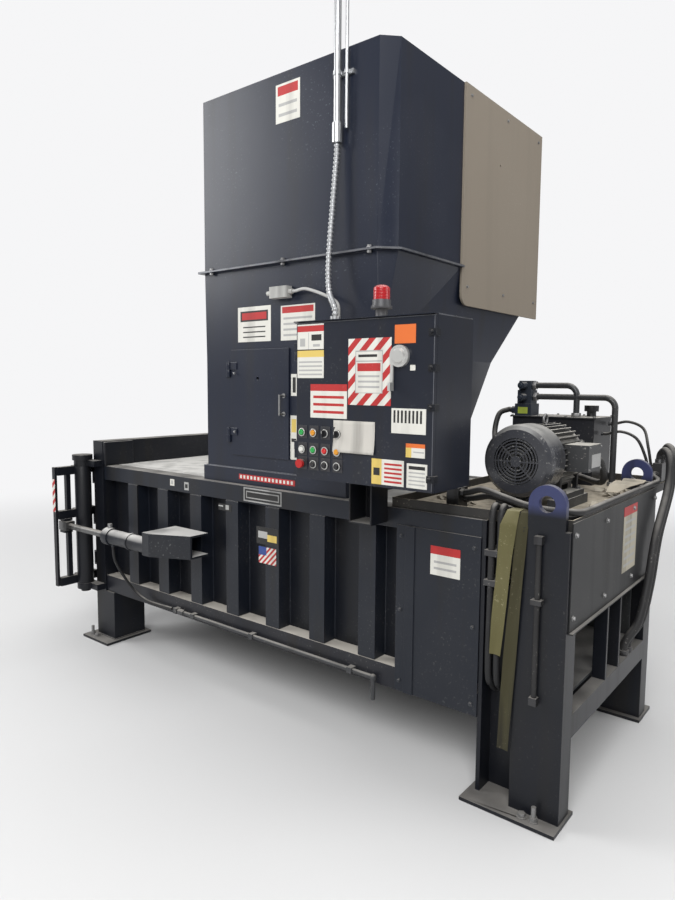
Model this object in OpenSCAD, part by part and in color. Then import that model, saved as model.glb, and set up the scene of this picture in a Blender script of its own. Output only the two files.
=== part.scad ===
// Closed-door horizontal recycling baler with a top hopper and a hydraulic power unit.
// Frame: origin on the floor at the centre of the four anchor holes. +X runs along the
// chamber towards the power unit, -Y is the operator's side and +Z is up. Millimetres.

/* [Body] */
// Distance between the anchor holes of the door end and of the rear end
anchor_span = 3100; // [2900:10:3400]
// Distance between the anchor holes across the machine
anchor_gauge = 1320; // [1280:5:1400]
// Width over the side ribs
body_w = 1220; // [1120:10:1300]
// Underside of the bottom rails above the floor
ground_gap = 340; // [250:5:450]
// Height over the side rails
side_h = 865; // [780:5:960]
// Depth of the side rails and ribs
rib_d = 90; // [60:5:110]
// Width of one side rib
rib_w = 100; // [70:5:130]
// Distance from one side rib to the next
rib_pitch = 315; // [260:5:340]
// Number of side ribs before the plain rear panel
rib_count = 7; // [5:1:8]
// Height of the top rail
top_rail_h = 95; // [80:5:120]
// Height of the bottom rail
bottom_rail_h = 110; // [90:5:140]
// Thickness of the rails' rolled section
rail_t = 8; // [5:1:12]
// Thickness of the chamber's side walls
wall_t = 10; // [6:1:16]
// Thickness of the chamber's floor plate
floor_t = 20; // [12:1:30]
// Thickness of the chamber's roof plates
roof_t = 12; // [8:1:16]
// Number of cross bearers under the chamber floor
bearer_count = 6; // [4:1:8]

/* [Portal] */
// Length of the portal posts along the chamber
portal_l = 110; // [90:5:150]
// Depth of one portal post across the machine
post_d = 240; // [200:5:260]
// How far the portal header stands above the side rails
header_rise = 165; // [120:5:220]
// Wall of the portal's box sections
box_t = 12; // [8:1:16]
// Thickness of the foot plates
foot_t = 16; // [12:1:25]
// Radius of the anchor holes
anchor_r = 11; // [8:0.5:14]

/* [Rear frame] */
// Length of the rear legs' box post
rear_post_l = 212; // [160:2:240]
// Depth of the rear legs' box post
rear_post_d = 110; // [90:5:120]
// Length of the hose bay between post and leg flange
hose_bay_l = 144; // [120:2:180]
// Radius of the lifting ears
ear_r = 76; // [60:1:90]
// Radius of the eye in each lifting ear
eye_r = 33; // [22:1:40]
// Thickness of the lifting ears
ear_t = 30; // [20:1:40]
// Height of the eyes above the side rails
eye_rise = 101; // [90:1:130]
// Height of the rear cover
cover_h = 440; // [360:10:520]

/* [Hopper] */
// Length of the feed opening in the roof
feed_l = 1000; // [850:10:1100]
// Start of the feed opening, from the portal
feed_start = 1020; // [950:10:1150]
// Height of the curb under the hopper
curb_h = 85; // [60:5:120]
// Height of the hopper's bend above the side rails
knee_rise = 695; // [600:5:800]
// Height of the hopper's flange joint above the side rails
joint_rise = 1180; // [1050:10:1300]
// Height of the upper hopper box
box_h = 930; // [700:10:1000]
// Length of the upper hopper box
box_l = 1280; // [1200:10:1350]
// Width of the upper hopper box
box_w = 1660; // [1500:10:1750]
// Thickness of the hopper's sheet
sheet_t = 6; // [4:0.5:10]
// Chamfer of the hopper box's near rear corner
corner_cut = 70; // [40:5:100]
// Width of the hopper's bolted flange
flange_w = 28; // [22:1:40]
// Thickness of the unpainted board on the hopper
board_t = 12; // [6:1:20]
// Width of the unpainted board
board_w = 1000; // [800:10:1100]
// Height of the unpainted board
board_h = 1135; // [900:5:1200]

/* [Access door] */
// Width of the access door
access_w = 440; // [360:5:480]
// Height of the access door
access_h = 585; // [480:5:640]
// Thickness of the access door
access_t = 6; // [4:0.5:10]

/* [Enclosure] */
// Width of the electrical enclosure
encl_w = 728; // [600:4:800]
// Height of the electrical enclosure
encl_h = 704; // [600:4:760]
// Depth of the electrical enclosure's box
encl_d = 290; // [220:5:320]
// Depth of the enclosure door's pan
encl_door_d = 18; // [12:1:24]
// Thickness of the enclosure's sheet
encl_t = 4; // [2:0.5:6]
// Underside of the enclosure above the side rails
encl_rise = 131; // [120:1:160]
// Radius of the beacon's lens
beacon_r = 36; // [28:1:42]

/* [Bale door] */
// Height of the bale door
door_h = 800; // [720:5:860]
// Thickness of the bale door's plate
door_t = 22; // [16:1:30]
// Depth of the bale door's beams
door_beam_d = 80; // [60:5:100]
// Radius of the bale door's hinge pins
door_pin_r = 24; // [18:1:30]

/* [Latch] */
// Distance from the latch pivot to the cylinder's drive pin
latch_r = 116; // [110:1:124]
// Angle that the latch turns to free the door
latch_turn = 40; // [36:1:44]
// Radius of the latch pivot pin
latch_pin_r = 32; // [24:1:38]
// Radius of the latch cylinder's barrel
lock_barrel_r = 47; // [40:1:54]
// Radius of the latch cylinder's rod
lock_rod_r = 20; // [14:1:24]
// Height of the latch cylinder above the floor
lock_z = 800; // [760:5:840]

/* [Ram] */
// Stroke of the ram
ram_stroke = 1100; // [900:10:1150]
// Clearance between the ram's box and the rear beams
ram_back_gap = 5; // [3:1:20]
// Thickness of the ram's face plate
ram_face_t = 40; // [25:1:50]
// Radius of the ram cylinder's barrel
ram_barrel_r = 95; // [80:1:110]
// Radius of the ram cylinder's middle sleeve
ram_sleeve_r = 72; // [60:1:78]
// Radius of the ram cylinder's rod
ram_rod_r = 48; // [38:1:54]

/* [Power unit] */
// Length of the deck that carries the power unit
deck_l = 840; // [700:10:900]
// How far the deck reaches past the far side rails
deck_reach = 380; // [300:10:420]
// Height of the deck's lip
lip_h = 45; // [30:5:60]
// Radius of the motor's fan cowl
cowl_r = 163; // [150:1:170]
// Height of the motor's shaft above the deck
shaft_rise = 222; // [200:1:240]
// Number of cooling fins round the motor
fin_count = 36; // [24:2:44]
// Length of the oil tank
tank_l = 480; // [440:10:520]
// Width of the oil tank
tank_w = 300; // [240:10:330]
// Height of the oil tank
tank_h = 370; // [280:10:420]

/* [Fits] */
// Running clearance between moving pieces
gap = 0.5; // [0.3:0.1:1]
// Radial clearance of a pin or a sleeve in its bore
pin_gap = 0.1; // [0.05:0.05:0.1]

/* [Hidden] */
$fn = 48;
e = 0.01;

// Places along the machine
x_portal = -anchor_span / 2 - 50;
x_body = x_portal + portal_l;
x_rear = anchor_span / 2 + 140;
x_post = x_rear - rear_post_l;
x_bay = x_post - hose_bay_l;
leg_flange_t = 20;
x_rail_end = x_bay - leg_flange_t;
rail_l = x_rail_end - x_body;
// Places across the machine
y_side = body_w / 2;
y_wall = y_side - rib_d;
inner_w = 2 * (y_wall - wall_t);
y_anchor = anchor_gauge / 2;
post_proud = 10;
rear_proud = 20;
// Heights
z_rail = ground_gap;
z_floor = z_rail + bottom_rail_h;
z_top = z_rail + side_h;
z_roof = z_top - roof_t;
z_rib_top = z_top - top_rail_h;
z_curb = z_top + curb_h;
z_knee = z_top + knee_rise;
z_joint = z_top + joint_rise;
z_rim = z_joint + 2 * sheet_t + box_h;

// Helpers that several pieces share

// Box given by its lowest and highest corner
module block(low, high) {
    translate(low) cube(high - low);
}
// Box with a round vertical edge at each corner
module round_plate(low, high, r) {
    w = high - low;
    translate([low.x + r, low.y + r, low.z]) linear_extrude(w.z)
        hull() for (x = [0, w.x - 2 * r], y = [0, w.y - 2 * r]) translate([x, y]) circle(r);
}
// The same piece on the near and on the far side
module both_sides() {
    children();
    mirror([0, 1, 0]) children();
}
// Round bar between two heights
module upright(x, y, z0, z1, r) {
    translate([x, y, z0]) cylinder(h = z1 - z0, r = r);
}
// Hexagon head with its washer, standing on z = 0
module hex_head(r, h) {
    cylinder(h = h * 0.25, r = r * 1.2);
    translate([0, 0, h * 0.25]) cylinder(h = h * 0.75, r = r, $fn = 6);
}

// Chamber

module chamber_floor() {
    color("#2b2f36") block([x_body, -y_wall + wall_t, z_floor - floor_t],
        [x_post, y_wall - wall_t, z_floor]);
}

bearer_w = 80;
bearer_pitch = (x_rail_end - x_body - bearer_w) / (bearer_count - 1);
module floor_bearers() {
    color("#23262c") for (i = [0 : bearer_count - 1]) translate([x_body + i * bearer_pitch, 0, 0])
        difference() {
            block([0, -y_wall + wall_t, z_rail], [bearer_w, y_wall - wall_t, z_floor - floor_t]);
            block([rail_t, -y_side, z_rail - e], [bearer_w - rail_t, y_side, z_floor - floor_t - rail_t]);
        }
}

feed_x0 = x_body + feed_start;
feed_x1 = feed_x0 + feed_l;
module chamber_roof() {
    color("#3a3b3a") {
        block([x_body, -y_wall + wall_t, z_roof], [feed_x0, y_wall - wall_t, z_top]);
        block([feed_x1, -y_wall + wall_t, z_roof], [x_rail_end, y_wall - wall_t, z_top]);
    }
}

module side_wall() {
    block([x_body, -y_wall, z_floor], [x_rail_end, -y_wall + wall_t, z_rib_top]);
}
module wall_near() {
    color("#1d2026") side_wall();
}
module wall_far() {
    color("#1d2026") mirror([0, 1, 0]) side_wall();
}

// The ribs are folded channels, welded to the wall with their open side inwards
rib_x0 = x_body + 270;
module side_rib() {
    difference() {
        block([0, -y_side, z_floor], [rib_w, -y_wall, z_rib_top]);
        block([rail_t, -y_side + rail_t, z_floor - e], [rib_w - rail_t, -y_wall + e, z_rib_top + e]);
    }
}
module side_ribs() {
    color("#2a2e35") both_sides()
        for (i = [0 : rib_count - 1]) translate([rib_x0 + i * rib_pitch, 0, 0]) side_rib();
}

// Channel rail with its web outside
module rail(z0, h) {
    difference() {
        block([x_body, -y_side, z0], [x_rail_end, -y_wall + wall_t, z0 + h]);
        block([x_body - e, -y_side + rail_t, z0 + rail_t], [x_rail_end + e, -y_wall + wall_t + e,
            z0 + h - rail_t]);
    }
}
module top_rails() {
    color("#2d3138") both_sides() rail(z_rib_top, top_rail_h);
}
module bottom_rails() {
    color("#24272d") both_sides() rail(z_rail, bottom_rail_h);
}

// Portal at the door end: two box posts on foot plates, tied by a header

portal_y = y_side + post_proud;
foot_in = 60;
foot_edge = 40;
leg_more = 95;
// Box section that stands between two corners
module box_post(low, high) {
    difference() {
        block(low, high);
        block(low + [box_t, box_t, box_t], high - [box_t, box_t, box_t]);
    }
}
module portal_frame() {
    color("#20232a") {
        both_sides() {
            // The leg under the chamber is broader than the post beside its mouth
            box_post([x_portal, -portal_y, foot_t], [x_body + leg_more, -portal_y + post_d, z_rail - gap]);
            block([x_portal, -portal_y, z_rail - box_t], [x_body, -y_wall + wall_t, z_rail + box_t]);
            box_post([x_portal, -portal_y, z_rail], [x_body, -y_wall + wall_t, z_top]);
            difference() {
                block([x_portal - foot_in, -y_anchor - foot_edge, 0],
                    [x_body + leg_more + foot_in / 2, -portal_y + post_d + foot_in / 2, foot_t]);
                translate([-anchor_span / 2, -y_anchor, -e]) cylinder(h = foot_t + 2 * e, r = anchor_r);
            }
        }
        difference() {
            block([x_portal, -portal_y, z_top], [x_body, portal_y, z_top + header_rise]);
            block([x_portal + box_t, -portal_y + box_t, z_top + box_t],
                [x_body - box_t, portal_y - box_t, z_top + header_rise - box_t]);
        }
        // Sill under the chamber's mouth
        block([x_portal, -y_wall + wall_t, z_rail], [x_body, y_wall - wall_t, z_floor]);
    }
}

// Rear frame: box posts with lifting ears, hose bays, cross beams and the thrust beam

rear_y = y_side + rear_proud;
rear_foot_l = rear_post_l + hose_bay_l + leg_flange_t + 30;
beam_h = 100;
beam_l = 60;
web_t = 8;
x_eye = x_rear - 94;
module lifting_ear() {
    translate([x_eye, -rear_y, z_top + eye_rise]) rotate([-90, 0, 0]) difference() {
        union() {
            cylinder(h = ear_t, r = ear_r);
            translate([-ear_r, 0, 0]) cube([2 * ear_r, eye_rise, ear_t]);
        }
        translate([0, 0, -e]) cylinder(h = ear_t + 2 * e, r = eye_r);
    }
}
module rear_leg() {
    // Box post
    box_post([x_post, -rear_y, foot_t], [x_rear, -rear_y + rear_post_d, z_top]);
    // Web and front flange of the hose bay
    block([x_bay, -y_wall + wall_t - web_t, foot_t], [x_post, -y_wall + wall_t, z_top]);
    block([x_rail_end, -y_side, foot_t], [x_bay, -y_wall + wall_t, z_top]);
    // Foot plate with its anchor hole
    difference() {
        block([x_rear - rear_foot_l, -y_anchor - foot_edge, 0],
            [x_rear + 10, -rear_y + rear_post_d + foot_in / 2, foot_t]);
        translate([anchor_span / 2, -y_anchor, -e]) cylinder(h = foot_t + 2 * e, r = anchor_r);
    }
    lifting_ear();
}
module rear_frame() {
    color("#23272e") {
        both_sides() rear_leg();
        // Cross beams between the posts and the thrust beam for the ram cylinder
        for (z = [z_rail, z_top - beam_h])
            block([x_rear - beam_l, -rear_y + rear_post_d, z], [x_rear, rear_y - rear_post_d, z + beam_h]);
        for (y = [-1, 1]) translate([0, y * 95, 0])
            block([x_rear - beam_l, -10, z_rail + beam_h], [x_rear, 10, z_top - beam_h]);
    }
}

// Levelling bolts through the outer edge of the foot plates

level_r = 10;
level_dx = 50;
level_h = 62;
module levelling_bolts() {
    color("#8d9094") both_sides() for (s = [-1, 1])
        translate([s * (anchor_span / 2 + level_dx), -y_anchor, foot_t]) {
            cylinder(h = 4, r = level_r * 2);
            translate([0, 0, 4]) cylinder(h = 16, r = level_r * 1.7, $fn = 6);
            translate([0, 0, 20]) cylinder(h = level_h - 20, r = level_r);
        }
}

// Plain folded panel beside the rear half of the ram tunnel

panel_t = 6;
panel_x0 = x_rail_end - 424;
panel_z0 = z_rail + 5;
panel_z1 = z_rib_top + 20;
bead_w = 50;
module side_panel() {
    color("#2c3037") both_sides() {
        block([panel_x0, -y_side - panel_t, panel_z0], [x_rail_end, -y_side, panel_z1]);
        block([panel_x0, -y_side, z_floor], [panel_x0 + panel_t, -y_wall, z_rib_top]);
        block([panel_x0 + bead_w, -y_side - 2 * panel_t, panel_z0],
            [panel_x0 + 2 * bead_w, -y_side - panel_t, panel_z1]);
    }
}

cover_t = 6;
module rear_cover() {
    color("#4a4d52") {
        block([x_rear, -y_side, z_top + lip_h - 10 - cover_h], [x_rear + cover_t, y_side,
            z_top + lip_h - 10]);
        // Lower edge folded outwards
        block([x_rear + cover_t, -y_side, z_top + lip_h - 10 - cover_h],
            [x_rear + cover_t + 14, y_side, z_top + lip_h - 10 - cover_h + cover_t]);
    }
}

// Deck of the power unit: a tray that catches oil

deck_x0 = x_rear - deck_l;
deck_y0 = -y_side + ear_t - rear_proud + 2;
deck_y1 = y_side + deck_reach;
deck_t = 6;
z_deck = z_top + deck_t;
bracket_drop = 300;
module deck_tray() {
    color("#3c3a35") {
        difference() {
            block([deck_x0, deck_y0, z_top], [x_rear, deck_y1, z_top + lip_h]);
            block([deck_x0 + deck_t, deck_y0 + deck_t, z_deck],
                [x_rear - deck_t, deck_y1 - deck_t, z_top + lip_h + e]);
            // Slot for the far lifting ear
            block([x_eye - ear_r - 2, rear_y - ear_t - 2, z_top - e],
                [x_eye + ear_r + 2, rear_y + 2, z_top + lip_h + e]);
        }
        // Gussets that carry the deck past the far side
        for (x = [deck_x0 + 40, x_rail_end - 60]) translate([x + 10, y_side, z_top]) rotate([90, 0, -90])
            linear_extrude(10) polygon([[0, 0], [20 - deck_reach, 0], [20 - deck_reach, -30],
                [-2 * panel_t, -bracket_drop], [-2 * panel_t, panel_z1 - z_top], [0, panel_z1 - z_top]]);
    }
}

// Hopper

curb_t = 30;
curb_x0 = feed_x0 - curb_t;
curb_x1 = feed_x1 + curb_t;
curb_y = y_wall - wall_t + 65;
module hopper_curb() {
    color("#2a2d33") difference() {
        block([curb_x0, -curb_y, z_top], [curb_x1, curb_y, z_curb]);
        block([feed_x0, -y_wall + wall_t, z_top - e], [feed_x1, y_wall - wall_t, z_curb + e]);
    }
}

chute_y0 = -curb_y + 15;
chute_x0 = curb_x0 + 20;
box_x0 = chute_x0 - 10;
box_x1 = box_x0 + box_l;
box_y1 = chute_y0 + box_w;
// Outline of the hopper box, shrunk on all sides by the given wall
module box_outline(wall) {
    c = corner_cut - wall * 0.586;
    polygon([[box_x0 + wall, chute_y0 + wall], [box_x1 - wall - c, chute_y0 + wall],
        [box_x1 - wall, chute_y0 + wall + c], [box_x1 - wall, box_y1 - wall], [box_x0 + wall,
            box_y1 - wall]]);
}
base_x1 = curb_x1 - 20;
base_y1 = curb_y - 15;
knee_x1 = box_x1 - 50;
knee_y1 = base_y1 + 40;
// Body of the chute, shrunk by the given wall: base, bend and joint with the box
module chute_body(wall, extra) {
    c = corner_cut - wall * 0.586;
    x0 = chute_x0 + wall;
    y0 = chute_y0 + wall;
    z0 = z_curb - extra;
    z2 = z_joint + extra;
    points = [
        [x0, y0, z0], [base_x1 - wall, y0, z0], [base_x1 - wall, base_y1 - wall, z0], [x0,
            base_y1 - wall, z0],
        [x0, y0, z_knee], [knee_x1 - wall, y0, z_knee], [knee_x1 - wall, knee_y1 - wall, z_knee], [x0,
            knee_y1 - wall, z_knee],
        [box_x0 + wall, y0, z2], [box_x1 - wall - c, y0, z2], [box_x1 - wall, y0 + c, z2],
        [box_x1 - wall, box_y1 - wall, z2], [box_x0 + wall, box_y1 - wall, z2]];
    sides = [for (i = [0 : 3]) [i, i + 4, (i + 1) % 4 + 4, (i + 1) % 4]];
    top_sides = [[4, 8, 9, 5], [5, 9, 10], [5, 10, 11, 6], [6, 11, 12, 7], [7, 12, 8, 4]];
    polyhedron(points, concat([[0, 1, 2, 3], [12, 11, 10, 9, 8]], sides, top_sides));
}
access_x0 = chute_x0 + 212;
access_z0 = z_curb + 76;
access_edge = 20;
// Flange of the joint, cut back where the board lies
module chute_flange() {
    linear_extrude(sheet_t) difference() {
        box_outline(-flange_w);
        box_outline(sheet_t - 2);
        translate([box_x1, board_y1 - board_w - gap]) square([2 * flange_w, board_w + 2 * flange_w]);
    }
}
module hopper_chute() {
    color("#24282f") {
        difference() {
            chute_body(0, 0);
            chute_body(sheet_t, 1);
            block([access_x0 + access_edge, chute_y0 - 5, access_z0 + access_edge],
                [access_x0 + access_w - access_edge, chute_y0 + 10, access_z0 + access_h - access_edge]);
        }
        translate([0, 0, z_joint]) chute_flange();
    }
}
rim_w = 40;
module hopper_box() {
    color("#2a2f38") {
        translate([0, 0, z_joint + sheet_t]) chute_flange();
        translate([0, 0, z_joint + 2 * sheet_t]) linear_extrude(box_h) difference() {
            box_outline(0);
            box_outline(sheet_t);
        }
        // Rim folded inwards
        translate([0, 0, z_rim - sheet_t]) linear_extrude(sheet_t) difference() {
            box_outline(sheet_t - e);
            box_outline(rim_w);
        }
    }
}

bolt_r = 11;
bolt_in = 0.5 * flange_w;
bolt_step_x = 550;
module flange_bolt() {
    translate([0, 0, 2 * sheet_t]) hex_head(bolt_r, 12);
    translate([0, 0, -12]) cylinder(h = 12, r = bolt_r, $fn = 6);
}
module flange_bolts() {
    color("#77787a") translate([0, 0, z_joint]) {
        for (x = [box_x0 + 75 : bolt_step_x : box_x1 - corner_cut], y = [chute_y0 - bolt_in,
            box_y1 + bolt_in])
            translate([x, y, 0]) flange_bolt();
        for (y = [chute_y0 + 200 : bolt_step_x / 1.3 : box_y1 - 100], x = [box_x0 - bolt_in])
            translate([x, y, 0]) flange_bolt();
    }
}

board_y1 = box_y1;
board_r = 60;
knot_r = 6;
module hopper_board() {
    color("#b39c7d") translate([box_x1, board_y1 - board_w, z_rim - board_h]) rotate([90, 0, 90])
        linear_extrude(board_t) difference() {
            hull() {
                translate([board_r, board_r]) circle(board_r);
                translate([board_w - 20, 0]) square(20);
                translate([0, board_h - 20]) square(20);
                translate([board_w - 20, board_h - 20]) square(20);
            }
            translate([0.42 * board_w, 0.72 * board_h]) circle(knot_r);
        }
}

// Access door in the chute, on a lift-off hinge with a turn latch

hinge_r = 12;
hinge_pin_r = 6;
hinge_y = chute_y0 - hinge_r - 1;
hinge_x = access_x0 - hinge_r - 2;
knuckle_h = 40;
hinge_zs = [access_z0 + 70, access_z0 + access_h - 70 - 2 * knuckle_h];
module access_hinge() {
    color("#3a3d42") for (z = hinge_zs) {
        upright(hinge_x, hinge_y, z, z + knuckle_h - gap, hinge_r);
        upright(hinge_x, hinge_y, z, z + 2 * knuckle_h + 6, hinge_pin_r);
        block([hinge_x - 40, chute_y0 - 6, z], [hinge_x - hinge_r + 3, chute_y0, z + knuckle_h - gap]);
    }
}
access_y = chute_y0 - 3;
module access_door() {
    color("#2b3038") {
        difference() {
            block([access_x0, access_y - access_t, access_z0], [access_x0 + access_w, access_y,
                access_z0 + access_h]);
            // Round view hole
            translate([access_x0 + 0.48 * access_w, access_y - access_t - e, access_z0 + 0.73 * access_h])
                rotate([-90, 0, 0]) cylinder(h = access_t + 2 * e, r = 9);
        }
        for (z = hinge_zs) translate([0, 0, z + knuckle_h]) difference() {
            union() {
                upright(hinge_x, hinge_y, 0, knuckle_h, hinge_r);
                block([hinge_x, access_y - access_t - 5, 0], [access_x0 + 50, access_y - access_t,
                    knuckle_h]);
            }
            upright(hinge_x, hinge_y, -e, knuckle_h + e, hinge_pin_r + pin_gap);
        }
    }
}
// Bent rod that the door is pulled open by
pull_x = access_x0 + access_w - 34;
pull_z = access_z0 + 289;
pull_w = 96;
pull_rod_r = 6;
module access_pull() {
    color("#55585c") translate([pull_x, access_y - access_t, pull_z]) {
        for (s = [-1, 1]) translate([0, 0, s * pull_w / 2]) rotate([90, 0, 0]) {
            cylinder(h = 34, r = pull_rod_r);
            cylinder(h = 3, r = 2 * pull_rod_r);
        }
        translate([0, -34, -pull_w / 2 - pull_rod_r]) cylinder(h = pull_w + 2 * pull_rod_r, r = pull_rod_r);
    }
}

// Electrical enclosure

encl_x0 = chute_x0 + 974;
encl_x1 = encl_x0 + encl_w;
encl_y1 = chute_y0;
encl_y0 = encl_y1 - encl_d;
encl_z0 = z_top + encl_rise;
encl_z1 = encl_z0 + encl_h;
hood = 14;
encl_hinge_zs = [encl_z0 + 90, encl_z1 - 170];
module enclosure_box() {
    color("#23272e") {
        difference() {
            block([encl_x0, encl_y0, encl_z0], [encl_x1, encl_y1, encl_z1]);
            block([encl_x0 + encl_t, encl_y0 - e, encl_z0 + encl_t], [encl_x1 - encl_t, encl_y1 - encl_t,
                encl_z1 - encl_t]);
        }
        // Drip hood over the door
        block([encl_x0, encl_y0 - encl_door_d - hood, encl_z1], [encl_x1, encl_y1, encl_z1 + encl_t]);
        // Fixed knuckles of the door hinge
        for (z = encl_hinge_zs) {
            upright(encl_x0 - hinge_pin_r, encl_y0 - hinge_pin_r, z, z + knuckle_h - gap, hinge_pin_r + 3);
            upright(encl_x0 - hinge_pin_r, encl_y0 - hinge_pin_r, z, z + 2 * knuckle_h, hinge_pin_r - 2);
        }
    }
}
module enclosure_bracket() {
    color("#2a2d33") difference() {
        block([encl_x0 + 213, encl_y0 + 110, z_rib_top + 22], [encl_x0 + 341, -y_side, encl_z0]);
        block([encl_x0 + 213 + rail_t, encl_y0 + 110 - e, z_rib_top + 22 + rail_t],
            [encl_x0 + 341 - rail_t, -y_side - rail_t, encl_z0 - rail_t]);
    }
}
door_y1 = encl_y0 - gap;
door_y0 = door_y1 - encl_door_d;
module enclosure_door() {
    color("#262a32") {
        difference() {
            block([encl_x0 + 6, door_y0, encl_z0 + 2], [encl_x1, door_y1, encl_z1 - 2]);
            block([encl_x0 + 6 + encl_t, door_y0 + encl_t, encl_z0 + 2 + encl_t],
                [encl_x1 - encl_t, door_y1 + e, encl_z1 - 2 - encl_t]);
            // Holes for the push buttons, the switches and the disconnect
            for (p = concat(button_places, [stop_place], selector_places))
                translate([p.x, door_y0 - e, p.y]) rotate([-90, 0, 0])
                    cylinder(h = encl_t + 2 * e, r = stem_r + gap);
            translate([disc_x, door_y0 - e, disc_z]) rotate([-90, 0, 0])
                cylinder(h = encl_t + 2 * e, r = disc_shaft_r + gap);
        }
        for (z = encl_hinge_zs) translate([0, 0, z + knuckle_h]) difference() {
            union() {
                upright(encl_x0 - hinge_pin_r, encl_y0 - hinge_pin_r, 0, knuckle_h - gap, hinge_pin_r + 2);
                block([encl_x0 - hinge_pin_r, door_y0, 0], [encl_x0 + 8, door_y0 + 4, knuckle_h - gap]);
                block([encl_x0 - hinge_pin_r - 3, door_y0, 0], [encl_x0 - hinge_pin_r + 3,
                    encl_y0 - hinge_pin_r, knuckle_h - gap]);
            }
            upright(encl_x0 - hinge_pin_r, encl_y0 - hinge_pin_r, -e, knuckle_h + e,
                hinge_pin_r - 2 + pin_gap);
        }
    }
}
clamp_zs = [encl_z1 - 70, encl_z1 - 208, encl_z1 - 364, encl_z0 + 56];
module door_clamps() {
    color("#7c7f83") for (z = clamp_zs) translate([encl_x1, 0, z]) {
        block([gap, door_y0 - 6, -14], [8, door_y1 + 12, 14]);
        block([-26, door_y0 - 6, -14], [gap, door_y0, 14]);
        translate([-13, door_y0 - 6, 0]) rotate([90, 0, 0]) hex_head(7, 9);
    }
}

// Operating devices on the enclosure door

stem_r = 11;
bezel_r = 18;
bezel_h = 8;
row_zs = [encl_z0 + 212, encl_z0 + 134, encl_z0 + 70];
col_xs = [encl_x0 + 45, encl_x0 + 113, encl_x0 + 180, encl_x0 + 249];
selector_places = [[col_xs[2], row_zs[0]], [col_xs[3], row_zs[0]]];
stop_place = [col_xs[0], row_zs[2]];
button_places = [for (i = [1 : 3]) [col_xs[i], row_zs[2]]];
pilot_places = concat([for (i = [0 : 1]) [col_xs[i], row_zs[0]]], [for (i = [0 : 3]) [col_xs[i],
    row_zs[1]]]);
plate_t = 2;
module on_door(p) {
    translate([p.x, door_y0, p.y]) rotate([90, 0, 0]) children();
}
module button_bezels() {
    color("#a9acb0") {
        // Square legend plates
        for (p = concat(selector_places, button_places, pilot_places, [stop_place]))
            on_door(p) difference() {
                translate([-27, -27, 0]) cube([54, 58, plate_t]);
                translate([0, 0, -e]) cylinder(h = plate_t + 2 * e, r = stem_r + gap);
            }
        for (p = concat(selector_places, button_places, [stop_place]))
            on_door(p) translate([0, 0, plate_t]) difference() {
                cylinder(h = bezel_h, r = bezel_r);
                translate([0, 0, -e]) cylinder(h = bezel_h + 2 * e, r = stem_r + gap);
            }
        // Pilot lights
        for (p = pilot_places) on_door(p) translate([0, 0, plate_t]) {
            cylinder(h = bezel_h, r = bezel_r);
            translate([0, 0, bezel_h]) cylinder(h = 7, r1 = 13, r2 = 9);
        }
    }
}
button_travel = 5;
// Stem that starts behind the door's sheet
module stem(out) {
    translate([0, 0, -encl_t - 8]) cylinder(h = encl_t + 8 + plate_t + bezel_h + out, r = stem_r);
}
module push_button(p, out, cap_r, cap_h) {
    on_door(p) {
        stem(out);
        translate([0, 0, plate_t + bezel_h + out]) cylinder(h = cap_h, r = cap_r);
    }
}
module selector(p) {
    on_door(p) {
        stem(gap);
        translate([0, 0, plate_t + bezel_h + gap]) {
            cylinder(h = 6, r = 15);
            translate([-4, -15, 6]) cube([8, 30, 14]);
        }
    }
}
module selector_left() { color("#1b1c1e") selector(selector_places[0]); }
module selector_right() { color("#1b1c1e") selector(selector_places[1]); }
module stop_button() { color("#b3242a") push_button(stop_place, button_travel + gap, 20, 14); }
module button_left() { color("#1f2023") push_button(button_places[0], button_travel + gap, 11, 3); }
module button_middle() { color("#1f2023") push_button(button_places[1], button_travel + gap, 11, 3); }
module button_right() { color("#1f2023") push_button(button_places[2], button_travel + gap, 11, 3); }

disc_x = encl_x1 - 158;
disc_z = encl_z1 - 160;
disc_r = 44;
disc_shaft_r = 10;
lever_l = 140;
module disconnect_handle() {
    color("#b9bbbe") translate([disc_x, door_y0, disc_z]) rotate([90, 0, 0]) {
        translate([0, 0, -encl_t - 10]) cylinder(h = encl_t + 10 + gap, r = disc_shaft_r);
        translate([0, 0, gap]) cylinder(h = 16, r = disc_r);
        translate([0, 0, 16 + gap]) cylinder(h = 10, r1 = disc_r - 12, r2 = disc_r - 18);
        // Lever that hangs from the rim of the dial
        translate([-disc_r + 4, -lever_l, 16 + gap - 8]) cube([13, lever_l, 8]);
        translate([-disc_r + 4, -lever_l, 8 + gap]) cube([13, 34, 26]);
    }
}

beacon_x = encl_x0 + 382;
beacon_y = encl_y0 + 110;
beacon_stem = 46;
module beacon_base() {
    color("#5b5e62") translate([beacon_x, beacon_y, encl_z1 + encl_t]) {
        cylinder(h = 6, r = beacon_r);
        cylinder(h = beacon_stem + 4, r = beacon_r - 10);
        translate([0, 0, beacon_stem]) cylinder(h = 12, r = beacon_r + 10);
        translate([0, 0, beacon_stem + 12]) cylinder(h = 26, r = beacon_r + 4);
    }
}
module beacon_lens() {
    color("#c41f1f") translate([beacon_x, beacon_y, encl_z1 + encl_t + beacon_stem + 38]) rotate_extrude()
        polygon(concat([[0, 0], [beacon_r, 0], [beacon_r, 46]],
            [for (a = [10 : 10 : 90]) [beacon_r * cos(a), 46 + 18 * sin(a)]]));
}

// Conduit, switch and piping

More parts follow.
